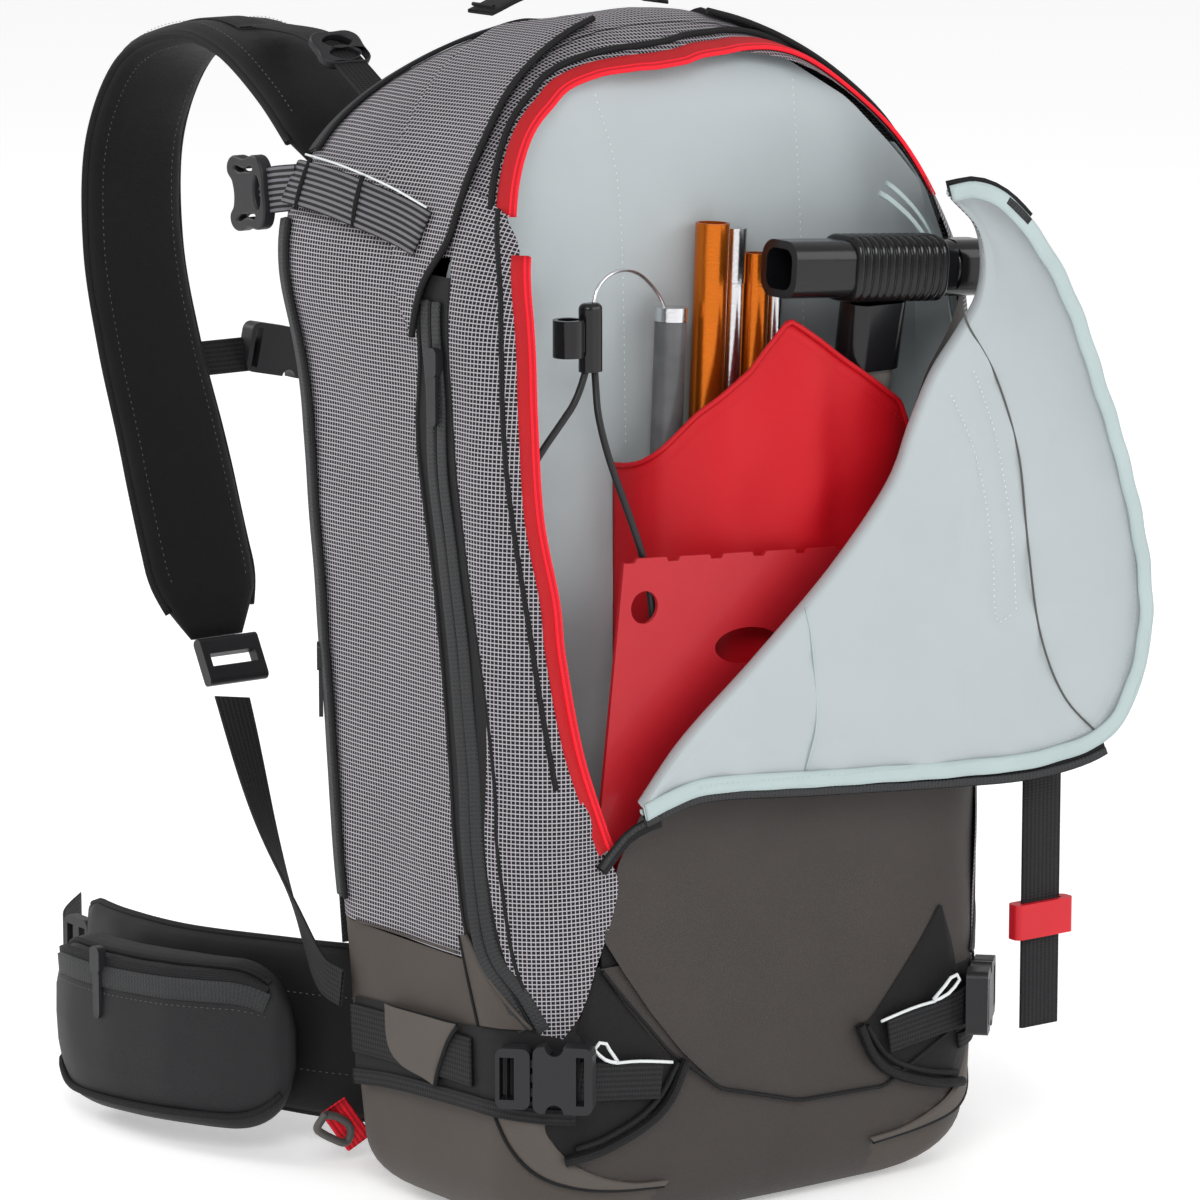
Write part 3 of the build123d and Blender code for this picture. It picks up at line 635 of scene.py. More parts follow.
def mirror(points):
    """The same line of (a, w) on the right side of the bag."""
    return [(2 * TOP - a, w) for a, w in points]


FLIP = {"left": list, "right": mirror}
SIGN = {"left": -1, "right": 1}


def at_heights(*pairs):
    """The line of (a, w) through pairs of height and depth on the left side."""
    return [(level(z), w) for z, w in pairs]


def whole_arch(points):
    """A line up the left side to the top, and its mirror down the right side."""
    return points + mirror(points[:-1])[::-1]


def back_edge(z):
    """Depth w of the back panel's zip at a height, on the round corner between side and back."""
    return BACK_CORNER * 0.6 - back_y(z) - 12


def bag_skin():
    """The side panels, the gusset round the mouth, the crown and the arch."""
    made = []
    heights = [140, 180, 230, 280, 330, 380, 420]
    for name in ("left", "right"):
        flip = FLIP[name]
        # the side's check cloth from the back seam to the side zip
        inner = [(level(z), -back_y(z) - 26) for z in heights + [470, 510, 545, 570]]
        zip_line = at_heights((140, 60), (171, 57), (218, 51), (266, 44), (313, 37), (361, 27), (398, 21),
                              (430, 22),
                                               (470, 16), (515, 10), (560, 6))
        made.append(patch(f"side_cloth_{name}", flip(inner), flip(zip_line), "grid", rows=110, columns=44,
                          out=-0.3, height=2.0))
        # the front half: from the mouth's rim back to the side zip
        rim = at_heights((105, 112), (118, 122), (140, 131), (160, 140), (178, 145), (190, 141), (203, 135),
                         (243, 124), (293, 113), (321, 109), (361, 101), (408, 96),
                                          (449, 91), (487, 79), (504, 64))
        behind = at_heights((105, 103), (118, 99), (132, 92), (152, 85), (176, 80), (202, 77), (223, 77),
                            (271, 78), (318, 68), (366, 58),
                                             (403, 52), (446, 50), (487, 42), (515, 28))
        if name == "right":
            rim = [(a, min(w, 104)) for a, w in rim]
        made.append(patch(f"front_gusset_{name}", flip(behind), flip(rim), "grid", rows=110, columns=24,
                          out=2.0, height=1.2))
    # the crown above the sides, and the arch behind the mouth
    crown_back = [(level(500), back_edge(500) - 14), (level(540), back_edge(540) - 10), (level(575), -52),
                  (TOP, -54)]
    crown_front = at_heights((500, 14), (540, 22), (575, 12)) + [(TOP, 6)]
    made.append(patch("crown_cloth", whole_arch(crown_back), whole_arch(crown_front), "grid", rows=130,
                      columns=34, out=0.2, height=1.6))
    rim_back = at_heights((478, 32), (505, 30), (540, 22), (575, 12)) + [(TOP, 6)]
    rim_front = at_heights((487, 78), (505, 64), (530, 50), (556, 38)) + [(TOP, 24)]
    made.append(patch("arch_cloth", whole_arch(rim_back), whole_arch(rim_front), "grid", rows=130,
                      columns=14, out=0.0, height=0.8))
    return made


def ring_point(z, share, out, swell=1.0):
    """A point of the left half at a height: share 0 is the middle of the front, 1 the middle of the back."""
    wide, front, back = half_width(z), front_y(z), back_y(z)
    lengths = (wide - CORNER, CORNER * math.pi / 2, back - BACK_CORNER - front - CORNER,
               BACK_CORNER * math.pi / 2,
               wide - BACK_CORNER)
    run = share * sum(lengths)
    part = 0
    while part < 4 and run > lengths[part]:
        run -= lengths[part]
        part += 1
    if part == 0:
        base, push = Vector((-run, front, z)), Vector((0, -1, 0))
    elif part == 1:
        turn = run / CORNER
        push = Vector((-math.sin(turn), -math.cos(turn), 0))
        base = Vector((CORNER - wide, front + CORNER, z)) + CORNER * push
    elif part == 2:
        base, push = Vector((-wide, front + CORNER + run, z)), Vector((-1, 0, 0))
    elif part == 3:
        turn = run / BACK_CORNER
        push = Vector((-math.cos(turn), math.sin(turn), 0))
        base = Vector((BACK_CORNER - wide, back - BACK_CORNER, z)) + BACK_CORNER * push
    else:
        base, push = Vector((BACK_CORNER - wide + run, back, z)), Vector((0, 1, 0))
    return base + push * (out + crinkle(base, 60, swell)), share * sum(lengths)


def boot():
    """The taupe boot round the foot of the bag, closed underneath."""
    rows, half = 30, 130
    points, uvs = [], []
    for side, shares in ((1, range(half)), (-1, range(half - 1, -1, -1))):
        for k in shares:
            for i in range(rows):
                z = 0.5 + 138.5 * (i / (rows - 1)) ** 1.4
                point, run = ring_point(z, k / (half - 1), -0.7)
                points.append(Vector((point.x * side, point.y, point.z)))
                uvs.append((run * side, z))
    faces = grid_faces(2 * half, rows)
    middle = len(points)
    points.append(Vector((0, -25, 0.5)))
    uvs.append((0, 0))
    faces += [(k * rows, middle, (k + 1) * rows) for k in range(2 * half - 1)]
    edge = [(20, 172), (28, 150), (34, 133), (44, 117), (56, 107), (66, 104), (139, 104)]
    choose = [int(239.7 - abs(uvs[face[0]][0]) > between(edge, uvs[face[0]][1])) for face in faces]
    return mesh_piece("boot_cloth", points, faces, ["boot", "brown"], "pack", uvs, choose)


skin = bag_skin()
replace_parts(skin[0], "main_side_left", "upper_web_left", "side_zip_left", "compression_web_left")
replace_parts(skin[2], "main_side_right", "upper_web_right", "side_zip_right", "compression_web_right")
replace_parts(boot(), "boot")

# ---- CAD pieces that show as they are -------------------------------------------------------------------
CAD_FINISH = {
    "red_metal": ("shovel_blade",),
    "gloss": ("shovel_grip", "shovel_neck", "probe_knob"),
    "bare_plastic": ("shovel_shaft",),
    "orange": ("probe_orange_sections",),
    "silver": ("probe_silver_sections", "probe_end_fittings", "frame_stay"),
    "carbon": ("probe_carbon_section",),
    "sheet": ("frame_sheet",),
    "plastic": ("strap_adjuster_left", "strap_adjuster_right", "hip_ladder_lock_left",
                "hip_ladder_lock_right",
                "compression_plug_left", "compression_socket_left", "compression_buckle_right",
                "sternum_buckle", "side_zip_slider_left", "side_zip_slider_right", "back_zip_slider",
                "hip_pocket_slider"),
    "red_plastic": ("hang_hook",),
}
for finish, nodes in CAD_FINISH.items():
    for node in nodes:
        shown = frame["nodes"][node]
        for item in [shown] + list(shown.children_recursive):
            if item.type == "MESH":
                for index in range(len(item.material_slots)):
                    item.material_slots[index].material = MATERIAL[finish]


# ---- seams, zips and bindings on the bag ------------------------------------------------------------
def side_zip(side):
    """The curved zip on one side: tape, coil and its stitched bindings."""
    flip = FLIP[side]
    back = at_heights((112, 97), (130, 84), (152, 60), (198, 52), (266, 45), (313, 38), (361, 28),
                      (398, 22), (436, 25), (470, 19))
    front = at_heights((110, 103), (130, 96), (152, 90), (202, 84), (223, 83), (271, 78), (318, 68),
                       (366, 58), (403, 52), (446, 49), (470, 46))
    middle = [tuple((Vector(p) + Vector(q)) / 2) for p, q in zip(back, front)]
    patch(f"side_zip_tape_{side}", flip(back), flip(front), "black", out=1.3, rows=80, columns=10, height=0.6)
    for row, shift in (("back", -4.5), ("front", 4.5)):
        line = [(a, w + shift) for a, w in middle]
        bag_band(f"side_zip_teeth_{row}_{side}", flip(line), 6.5, 1.2, "zip", out=2.3)
    seam(f"side_zip_gap_{side}", flip(middle), out=2.5, radius=0.7, material="black")
    seam(f"side_zip_edge_back_{side}", flip(back), out=1.2, radius=1.3)
    seam(f"side_zip_edge_front_{side}", flip(front), out=1.4, radius=1.3)


def mouth_trim():
    """The red zip tape round the mouth and the black binding beside it."""
    left = at_heights((196, 138), (243, 121), (293, 112), (321, 109), (361, 101), (408, 96), (449, 91),
                      (487, 79))
    bag_band("red_tape_left", left, 9.0, 1.0, "red_zip", out=1.6)
    bag_band("red_coil_left", [(a, w + 3.2) for a, w in left], 3.6, 2.0, "red_web", out=2.4)
    inner = at_heights((230, 112), (273, 105), (321, 98), (368, 90), (406, 85), (462, 78), (505, 60))
    seam("gusset_binding_left", inner, out=1.6, radius=1.5)
    arch = [(level(504), 64), (level(525), 53), (level(542), 44), (level(556), 38), (level(566), 33),
            (TOP - 16, 27), (TOP + 16, 23)]
    arch += [(2 * TOP - level(566), 24), (2 * TOP - level(548), 32), (2 * TOP - level(520), 48),
             (2 * TOP - level(494), 64)]
    bag_band("red_tape_arch", arch, 10.0, 1.0, "red_zip", out=0.8)
    bag_band("red_coil_arch", [(a, w + 3.4) for a, w in arch], 3.6, 2.0, "red_web", out=1.6)
    seam("arch_piping", [(a, w - 7.5) for a, w in arch], out=1.2, radius=1.7)


def sewn_tapes():
    """The striped tape sewn across the top of each side."""
    for side in ("left", "right"):
        flip = FLIP[side]
        upper = at_heights((502, -84), (500, -48), (494, -12), (487, 20))
        bag_band(f"upper_tape_{side}", flip(upper), 23, 1.6, "striped", out=5.4)


def flap_tip(side):
    """The check cloth tongue that ends above the side zip, with its piping."""
    flip = FLIP[side]
    front = at_heights((582, 4), (560, 20), (530, 34), (501, 41), (485, 40), (465, 28), (440, 22))
    top = at_heights((575, -40), (560, -38), (530, -24), (500, -14), (478, 0), (458, 8), (440, 21))
    patch(f"tongue_cloth_{side}", flip(top), flip(front), "grid", out=3.8, rows=60, columns=16, height=0.9)
    seam(f"tongue_piping_{side}", flip(front), out=4.0, radius=1.7)


for name in ("left", "right"):
    side_zip(name)
    flap_tip(name)
mouth_trim()
sewn_tapes()


# ---- front panel, pocket lining and sleeve ------------------------------------------------------------
CREASE = [(-89, 219), (-63, 247), (-20, 281), (26, 320), (61, 358), (75, 387), (88, 411), (104, 430),
          (116, 446), (119, 464), (114, 482), (97, 498)]


def front_point(x, z, out):
    """A point of the bag's front face, which turns round its corners."""
    straight = half_width(z) - CORNER
    over = min(CORNER, max(0.0, abs(x) - straight))
    y = front_y(z) + CORNER - math.sqrt(max(0.0, CORNER**2 - over**2))
    push = Vector((math.copysign(over, x), -math.sqrt(max(0.0, CORNER**2 - over**2)), 0)) / CORNER
    base = Vector((x, y, z))
    return base + push * (out + crinkle(base, 60, 1.6))


LEFT_EDGE = [(50, -25), (68, -31), (92, -63), (122, -90), (142, -107), (160, -101), (178, -96), (188, -94)]
LEFT_EDGE += [(z, x + 13) for x, z in CREASE[:-3]] + [(500, 130)]
LOW_SEAM = [(-107, 142), (-90, 122), (-63, 92), (-31, 68), (18, 54), (71, 53), (111, 74), (146, 118)]


def front_panel():
    """The dark brown lower front, up to the crease that the flap folds along."""
    rows, columns = 90, 60
    points, uvs = [], []
    for i in range(rows):
        share = i / (rows - 1)
        height = 54 + (500 - 54) * share
        left, right = between(LEFT_EDGE, height), half_width(height) - 2.5
        for _ in range(8):
            low = between(LOW_SEAM, left)
            left = 0.5 * (left + between(LEFT_EDGE, low + (500 - low) * share))
        for j in range(columns):
            x = left + (right - left) * j / (columns - 1)
            low = between(LOW_SEAM, x)
            z = low + (500 - low) * share
            points.append(front_point(x, z, 0.8))
            uvs.append((x, z))
    panel = mesh_piece("front_cloth", points, grid_faces(rows, columns), "brown", "pack", uvs)
    line = [front_point(x, between(LOW_SEAM, x), 1.6) for x in range(-104, 146, 6)]
    tube("front_seam", line, 1.0, "binding")
    return panel


ARCH_TOP = [(-145, 490), (-124, 502), (-112, 523), (-96, 540), (-74, 554), (-48, 564), (-14, 571),
            (19, 571), (65, 563), (98, 540), (118, 515),
            (130, 494), (145, 480)]
ARCH_FRONT = [(-124, -60), (-112, -53), (-96, -44), (-74, -38), (-48, -34), (-14, -27), (19, -23),
              (65, -26), (98, -40), (118, -52), (130, -64)]


def pocket_lining():
    """The pale lining: its back wall, and the walls that run forward to the mouth."""
    rows, columns = 80, 60
    points, uvs = [], []
    for i in range(rows):
        share = i / (rows - 1)
        for j in range(columns):
            x = 145 * (2 * j / (columns - 1) - 1)
            top = between(ARCH_TOP, x)
            z = 34 + (top - 34) * share
            x = max(3 - half_width(z), min(half_width(z) - 3, x))
            lean = min(1.0, max(0.0, (z - top + 30) / 30)) ** 2
            y = -39.5 + (between(ARCH_FRONT, x) + 40.0) * lean
            base = Vector((x, y, z))
            points.append(base + Vector((0, (crinkle(base, 70, 4.0) + crinkle(base, 24, 0.8)) * (1 - lean),
                                         0)))
            uvs.append((x, z))
    wall = mesh_piece("lining_back_wall", points, grid_faces(rows, columns), "lining", "pack", uvs)
    rim = at_heights((189, 146), (243, 124), (293, 113), (321, 109), (361, 101), (408, 96), (449, 91),
                                      (487, 79), (504, 64), (522, 54))
    count, deep = 90, 12
    walls = []
    for side in ("left", "right"):
        points, uvs = [], []
        line = rim if side == "left" else [(2 * TOP - a, min(w, 116)) for a, w in rim]
        for a, w in [tuple(p) for p in smooth_line(line, count)]:
            for j in range(deep):
                share = j / (deep - 1)
                depth = w + (min(w, 34) - w) * share
                points.append(lift(a, depth, -1.8 - 3.0 * min(1, 3 * share), 40, 2.0))
                uvs.append((depth, a))
        walls.append(mesh_piece(f"lining_wall_{side}", points, grid_faces(count, deep), "lining", "pack",
                                uvs))
    for name, run in (("left", ((-58, 552), (-44, 500), (-40, 380))),
                      ("right", ((62, 552), (66, 500), (70, 420)))):
        line = smooth_line([Vector((x, -40.5 - abs(crinkle((x, -39, z), 70, 4.0)), z)) for x, z in run], 40)
        stitches(f"lining_stitch_{name}", line, facing((0, -1, 0), line), "pack", gap=3.6, length=1.6,
                 radius=0.3)
    for name, shift in (("a", 0.0), ("b", 9.0)):
        line = [(2 * TOP - level(z), 92 - shift - 0.1 * (500 - z)) for z in (520, 480, 430, 380, 330)]
        bag_band(f"lining_tape_{name}", line, 3.0, 0.8, "lining_edge", out=-6.4)
    return wall, walls


SLEEVE_PLAN = [(-47, -40), (-46, -50), (-43, -60), (-34, -71), (-12, -80), (12, -87), (36, -90), (58, -91),
               (82, -89), (104, -85), (118, -75),
               (127, -60), (134, -41)]
SLEEVE_TOP = [(-47, 371), (-22, 399), (4, 418), (23, 442), (56, 420), (93, 395), (105, 373), (134, 335)]


def sleeve():
    """The red tool sleeve: a soft open tube with a hemmed, slanting mouth."""
    plan = smooth_line(SLEEVE_PLAN, 90)
    rows = 60
    points, uvs, mouth = [], [], []
    for k, spot in enumerate(plan):
        top = between(SLEEVE_TOP, spot.x)
        for i in range(rows):
            share = i / (rows - 1)
            z = 62 + (top - 62) * share
            fold = 1.5 * math.sin(spot.x / 7.5 + 1.2 * noise.noise(Vector((spot.x / 40, 0,
                z / 90)))) * (0.35 + 0.65 * share)
            ends = min(1.0, k / 10, (len(plan) - 1 - k) / 10)
            base = Vector((spot.x, spot.y, z))
            point = base + Vector((0, ends * (fold + crinkle(base, 30, 1.6)) - 0.6, 0))
            points.append(point)
            uvs.append((k * 2.6, z))
        mouth.append(points[-1])
    body = mesh_piece("red_sleeve", points, grid_faces(len(plan), rows), "red", "pack", uvs)
    thick = body.modifiers.new("cloth_thickness", "SOLIDIFY")
    thick.thickness, thick.offset = 1.2 * MM, 1.0
    tube("red_sleeve_hem", [p + Vector((0, -0.4, -1)) for p in mouth], 1.5, "red", flat=0.9)
    line = [p + Vector((0, -1.6, -9)) for p in mouth[6:-6]]
    stitches("red_sleeve_stitch", line, facing((0, -1, 0), line), "pack", gap=3.4, length=2.0, radius=0.28,
             material="red_web")
    return body


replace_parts(front_panel(), "front_lower_panel")
wall, walls = pocket_lining()
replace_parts(wall, "pocket_divider")
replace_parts(walls[0], "pocket_gusset", "mouth_zip_tape")
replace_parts(sleeve(), "tool_sleeve")


# ---- flap -------------------------------------------------------------------------------------------------
FLAP_RIM = [(-89, -123, 217), (-53, -124, 225), (15, -127, 220), (98, -131, 214), (147, -136, 213),
            (184, -142, 221), (200, -145, 240),
            (208, -147, 269), (207, -148, 298), (199, -148, 333), (187, -148, 370), (174, -147, 403), (157,
                -146, 442), (138, -144, 473),
            (119, -140, 495), (105, -133, 503), (94, -124, 501)]


def flap_sheet():
    """The opened flap: lining towards the front, its cloth behind, and a fold that joins it to the bag."""
    rows, columns, roll = 110, 46, 6
    left = smooth_line([(x, -123.2, z) for x, z in CREASE], rows)
    right = smooth_line(FLAP_RIM, rows)
    front, back, uvs = [], [], []
    for inner, outer in zip(left, right):
        for j in range(roll):
            share = j / roll
            bulge = 3.5 * math.sin(math.pi * share)
            point = Vector((inner.x - bulge + 11 * (1 - share), -108.5 - 14.7 * share, inner.z + 0.6 * bulge))
            front.append(point)
            back.append(point + Vector((1.6, 0.3, -1.2)))
            uvs.append((point.x - 14 * (1 - share), point.z))
        for j in range(columns):
            share = j / (columns - 1)
            flat = inner.lerp(outer, share)
            curl = share**2.6
            y = inner.y + (outer.y - inner.y) * curl
            edge = min(1.0, 6 * share, 14 * (1 - share))
            point = Vector((flat.x, y, flat.z))
            point.y -= edge * abs(crinkle((flat.x, 0, flat.z), 55, 4.5) + crinkle((flat.x, 5, flat.z), 17,
                0.9))
            point.y = min(point.y, -122.4)
            front.append(point)
            back.append(point + Vector((0, 1.4 if share < 1 else 0.7, 0)))
            uvs.append((flat.x, flat.z))
    wide = columns + roll
    faces = grid_faces(rows, wide)
    half = len(front)
    choose = [0] * len(faces)
    faces += [tuple(half + k for k in face[::-1]) for face in faces]
    choose += [1] * len(choose)
    for i in range(rows - 1):
        a, b = i * wide + wide - 1, (i + 1) * wide + wide - 1
        faces.append((a, b, half + b, half + a))
        choose.append(0)
    obj = mesh_piece("flap_cloth", front + back, faces, ["lining", "grid"], None, uvs * 2, choose)
    grid = [front[i * wide + roll:(i + 1) * wide] for i in range(rows)]
    return obj, grid


flap, FLAP_GRID = flap_sheet()
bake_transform(flap)
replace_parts(flap, "flap_panel", "flap_zip_coil")


def on_flap(x, z, out=0.8):
    """The point of the flap's lining at x and z."""
    spots = [p for row in FLAP_GRID for p in row]
    near = min(spots, key=lambda p: (p.x - x) ** 2 + (p.z - z) ** 2)
    return Vector((x, near.y - out, z))


def flap_trim():
    """The hem round the flap, the zip below it, its inner seam and stitched pocket."""
    rim = [row[-1] for row in FLAP_GRID]
    inner = [row[-3] for row in FLAP_GRID]
    out = facing((0, -1, 0), rim)
    hem = [p.lerp(q, 0.5) + Vector((0, -1.4 + 0.5 * math.sin(k * 1.3), 0)) for k,
           (p, q) in enumerate(zip(rim, inner))]
    band("flap_hem", hem, out, 8.5, 1.5, "lining_edge", "flap", count=260)
    stitches("flap_hem_stitch", [p + Vector((0, -2.4, 0)) for p in [row[-4] for row in FLAP_GRID]][6:-4],
             out[6:-4], "flap", gap=3.0, length=1.9, radius=0.28, material="lining_edge")
    zipline = []
    for k, p in enumerate(rim):
        run = rim[min(k + 2, len(rim) - 1)] - rim[max(k - 2, 0)]
        zipline.append(p + Vector((run.z, 0, -run.x)).normalized() * 4.2 + Vector((0, 0.4, 0)))
    low = [p for p in zipline if p.z < 232 and p.x < 188]
    high = [p.lerp(q, 0.45) for p, q in zip(zipline, rim) if p.z > 486]
    for name, line in (("low", low), ("high", high)):
        band(f"flap_zip_{name}", line, facing((0, -1, 0), line), 8.0, 1.4, "binding", "flap")
        band(f"flap_zip_coil_{name}", [p + Vector((0, -1.0, -1.2)) for p in line], facing((0, -1, 0), line),
             4.0, 1.8, "zip", "flap")
    edge = [p + Vector((0, 1.0, 0)) for p in rim]
    tube("flap_binding", edge, 1.7, "lining_edge", "flap")
    seam_line = [on_flap(x, z, 0.3) for x, z in ((104, 446), (108, 435), (124, 409), (136, 370), (142, 325),
                                                 (149, 279), (162, 245), (183, 222))]
    tube("flap_inner_seam", seam_line, 0.55, "grey_plastic", "flap")
    for name, run in (("a", ((96, 402), (108, 380), (115, 357), (121, 322), (124, 288), (132, 289))),
                      ("b", ((109, 413), (120, 390), (125, 370), (132, 330), (135, 291)))):
        line = smooth_line([on_flap(x, z, 0.9) for x, z in run], 60)
        stitches(f"flap_stitch_{name}", line, facing((0, -1, 0), line), "flap", gap=2.9, length=2.0,
                 radius=0.42)
    fold = [on_flap(x, z, 0.2) for x, z in ((8, 306), (12, 288), (14, 250), (6, 224))]
    tube("flap_middle_seam", fold, 0.5, "lining_edge", "flap")


flap_trim()


# ---- the probe's two cords --------------------------------------------------------------------------------
PULL_ROUTE = [(-89, -76, 424), (-93, -76, 412), (-104, -77.5, 401), (-117, -79.5, 389), (-128, -80, 375),
              (-136, -76, 355), (-139, -71, 320),
              (-139, -67, 280), (-137, -66, 242), (-126, -68, 212), (-104, -74, 197), (-82, -82, 207), (-68,
                  -89, 233), (-61, -92, 268),
              (-60, -92.5, 303), (-66, -92.5, 333), (-76, -91.5, 359), (-84, -88, 383), (-86, -82,
                  403), (-83.5, -77, 415), (-83.5, -76, 424)]
CABLE_ROUTE = [(-84, -76, 457), (-82.5, -75.5, 462.5), (-77, -74.2, 467.5), (-69, -72, 470),
               (-59, -68.5, 470), (-48, -64, 466.5),
               (-38, -59.5, 460), (-30, -56, 453), (-26, -54.5, 447)]


def cord(name, route, diameter, material, node):
    """A cord along the same route as its CAD node."""
    curve = bpy.data.curves.new(name, "CURVE")
    curve.dimensions, curve.use_fill_caps = "3D", True
    curve.bevel_depth, curve.bevel_resolution = diameter / 2 * MM, 3
    spline = curve.splines.new("NURBS")
    spline.points.add(len(route) - 1)
    for point, spot in zip(spline.points, route):
        point.co = (*[MM * value for value in spot], 1)
    spline.order_u = 3
    spline.use_endpoint_u = True
    spline.resolution_u = 8
    curve.materials.append(MATERIAL[material])
    obj = bpy.data.objects.new(name, curve)
    bpy.context.scene.collection.objects.link(obj)
    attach(obj, "probe")
    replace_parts(obj, node)
    return obj


cord("probe_pull_cord", PULL_ROUTE, 3.6, "plastic", "pull_cord")
cord("probe_tension_cable", CABLE_ROUTE, 1.8, "silver", "tension_cable")


# ---- harness: shoulder straps, back pads, hip belt --------------------------------------------------------
VOXEL, PRESSURE, SWELL_FRAMES = 5.0, 3.0, 16
STRAP_X, RIGHT_DROP = 85, 19


def puffed(name, points, faces, material, body, cap=5.0):
    """A closed pad in millimetres, swelled by a cloth simulation that is then applied."""
    mesh = bpy.data.meshes.new(name)
    mesh.from_pydata([tuple(Vector(p) * MM) for p in points], [], faces)
    mesh.update()
    obj = bpy.data.objects.new(name, mesh)
    bpy.context.scene.collection.objects.link(obj)
    for other in bpy.context.selected_objects:
        other.select_set(False)
    bpy.context.view_layer.objects.active = obj
    obj.select_set(True)
    grid = obj.modifiers.new("voxels", "REMESH")
    grid.mode, grid.voxel_size = "VOXEL", VOXEL * MM
    bpy.ops.object.modifier_apply(modifier=grid.name)
    start = [v.co.copy() for v in obj.data.vertices]
    cloth = obj.modifiers.new("swell", "CLOTH")
    cloth.settings.use_pressure = True
    cloth.settings.uniform_pressure_force = PRESSURE
    cloth.settings.effector_weights.gravity = 0
    cloth.settings.quality = 5
    cloth.point_cache.frame_end = SWELL_FRAMES
    for step in range(1, SWELL_FRAMES + 1):
        bpy.context.scene.frame_set(step)
    bpy.ops.object.modifier_apply(modifier=cloth.name)
    bpy.context.scene.frame_set(1)
    for vertex, before in zip(obj.data.vertices, start):
        move = vertex.co - before
        if move.length > cap * MM:
            vertex.co = before + move.normalized() * cap * MM
        vertex.co += vertex.normal * crinkle(vertex.co / MM, 22, 0.7) * MM
    smooth = obj.modifiers.new("smooth", "SUBSURF")
    smooth.levels = smooth.render_levels = 1
    obj.data.materials.append(MATERIAL[material])
    obj.data.polygons.foreach_set("use_smooth", [True] * len(obj.data.polygons))
    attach(obj, body)
    return obj


def sweep(name, spine, outs, widths, thick, material, body):
    """A soft strap of changing width: a flat back, a crowned face and rounded rims."""
    count = len(spine)
    sections = []
    points, uvs, run = [], [], 0.0
    turns = 28
    for k, (point, out) in enumerate(zip(spine, outs)):
        ahead = (spine[min(k + 1, count - 1)] - spine[max(k - 1, 0)]).normalized()
        out = (out - ahead * out.dot(ahead)).normalized()
        across = ahead.cross(out).normalized()
        run += (point - spine[k - 1]).length if k else 0.0
        end = min(1.0, (k + 1) / 4, (count - k) / 4)
        for j in range(turns):
            turn = 2 * math.pi * j / turns
            c, d = math.cos(turn), math.sin(turn)
            u = bulged(c, 0.55) * widths[k] / 2 * (0.8 + 0.2 * end)
            v = bulged(d, 0.7) * thick / 2 * end
            rise = crinkle(point + across * u, 26, 1.0)
            points.append(point + across * u + out * (v + rise))
            uvs.append((u, run))
        sections.append((point, across, out, widths[k]))
    faces = grid_faces(count, turns, True)
    faces += [tuple(range(turns))[::-1], tuple(range((count - 1) * turns, count * turns))]
    obj = mesh_piece(name, points, faces, material, body, uvs)
    return obj, sections


STRAP_PATH = [(128, 506), (168, 536), (212, 557), (257, 560), (306, 542), (337, 497), (340, 440),
              (325, 388), (304, 340), (283, 287), (262, 240)]


def shoulder_strap(side):
    """One shoulder strap: padded, with a bound rim and a line of sewing inside it."""
    sign = SIGN[side]
    slump = 26 if side == "right" else 0
    count = 70
    path = smooth_line([Vector((sign * STRAP_X, y, z - slump * min(1, k / 3))) for k,
                        (y, z) in enumerate(STRAP_PATH)], count)
    spine, outs, widths = [], [], []
    for k, point in enumerate(path):
        share = k / (count - 1)
        ahead = path[min(k + 1, count - 1)] - path[max(k - 1, 0)]
        outs.append(Vector((0, -ahead.z, ahead.y)).normalized() * 1.0)
        widths.append(63 - 6 * math.sin(math.pi * min(1, share * 1.2)) if share < 0.93 else 63 - 26
                      * ((share - 0.93) / 0.07) ** 1.5)
        spine.append(point)
    obj, sections = sweep(f"strap_pad_{side}", spine, outs, widths, 12.5, "pad", "back_panel")
    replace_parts(obj, f"shoulder_strap_{side}")
    for edge in (-1, 1):
        rim = [p + across * (edge * (w / 2 - 0.2)) for p, across, out, w in sections[2:-2]]
        tube(f"strap_binding_{side}_{'in' if edge < 0 else 'out'}", rim, 2.1, "binding", "back_panel")
        for face in (-1, 1):
            line = [p + across * (edge * (w / 2 - 7.5)) + out * (face * 5.9) for p, across, out,
                    w in sections[4:-4]]
            normals = [out * face for p, across, out, w in sections[4:-4]]
            stitches(f"strap_stitch_{side}_{'in' if edge < 0 else 'out'}_{'a' if face < 0 else 'b'}", line,
                     normals, "back_panel", gap=3.6, radius=0.35, material="grey_plastic")
    centre = [p + out * 6.6 for p, across, out, w in sections[14:-5]]
    band(f"strap_tape_{side}", centre, [out for p, across, out, w in sections[14:-5]], 20, 1.4, "webbing",
         "back_panel")
    return obj


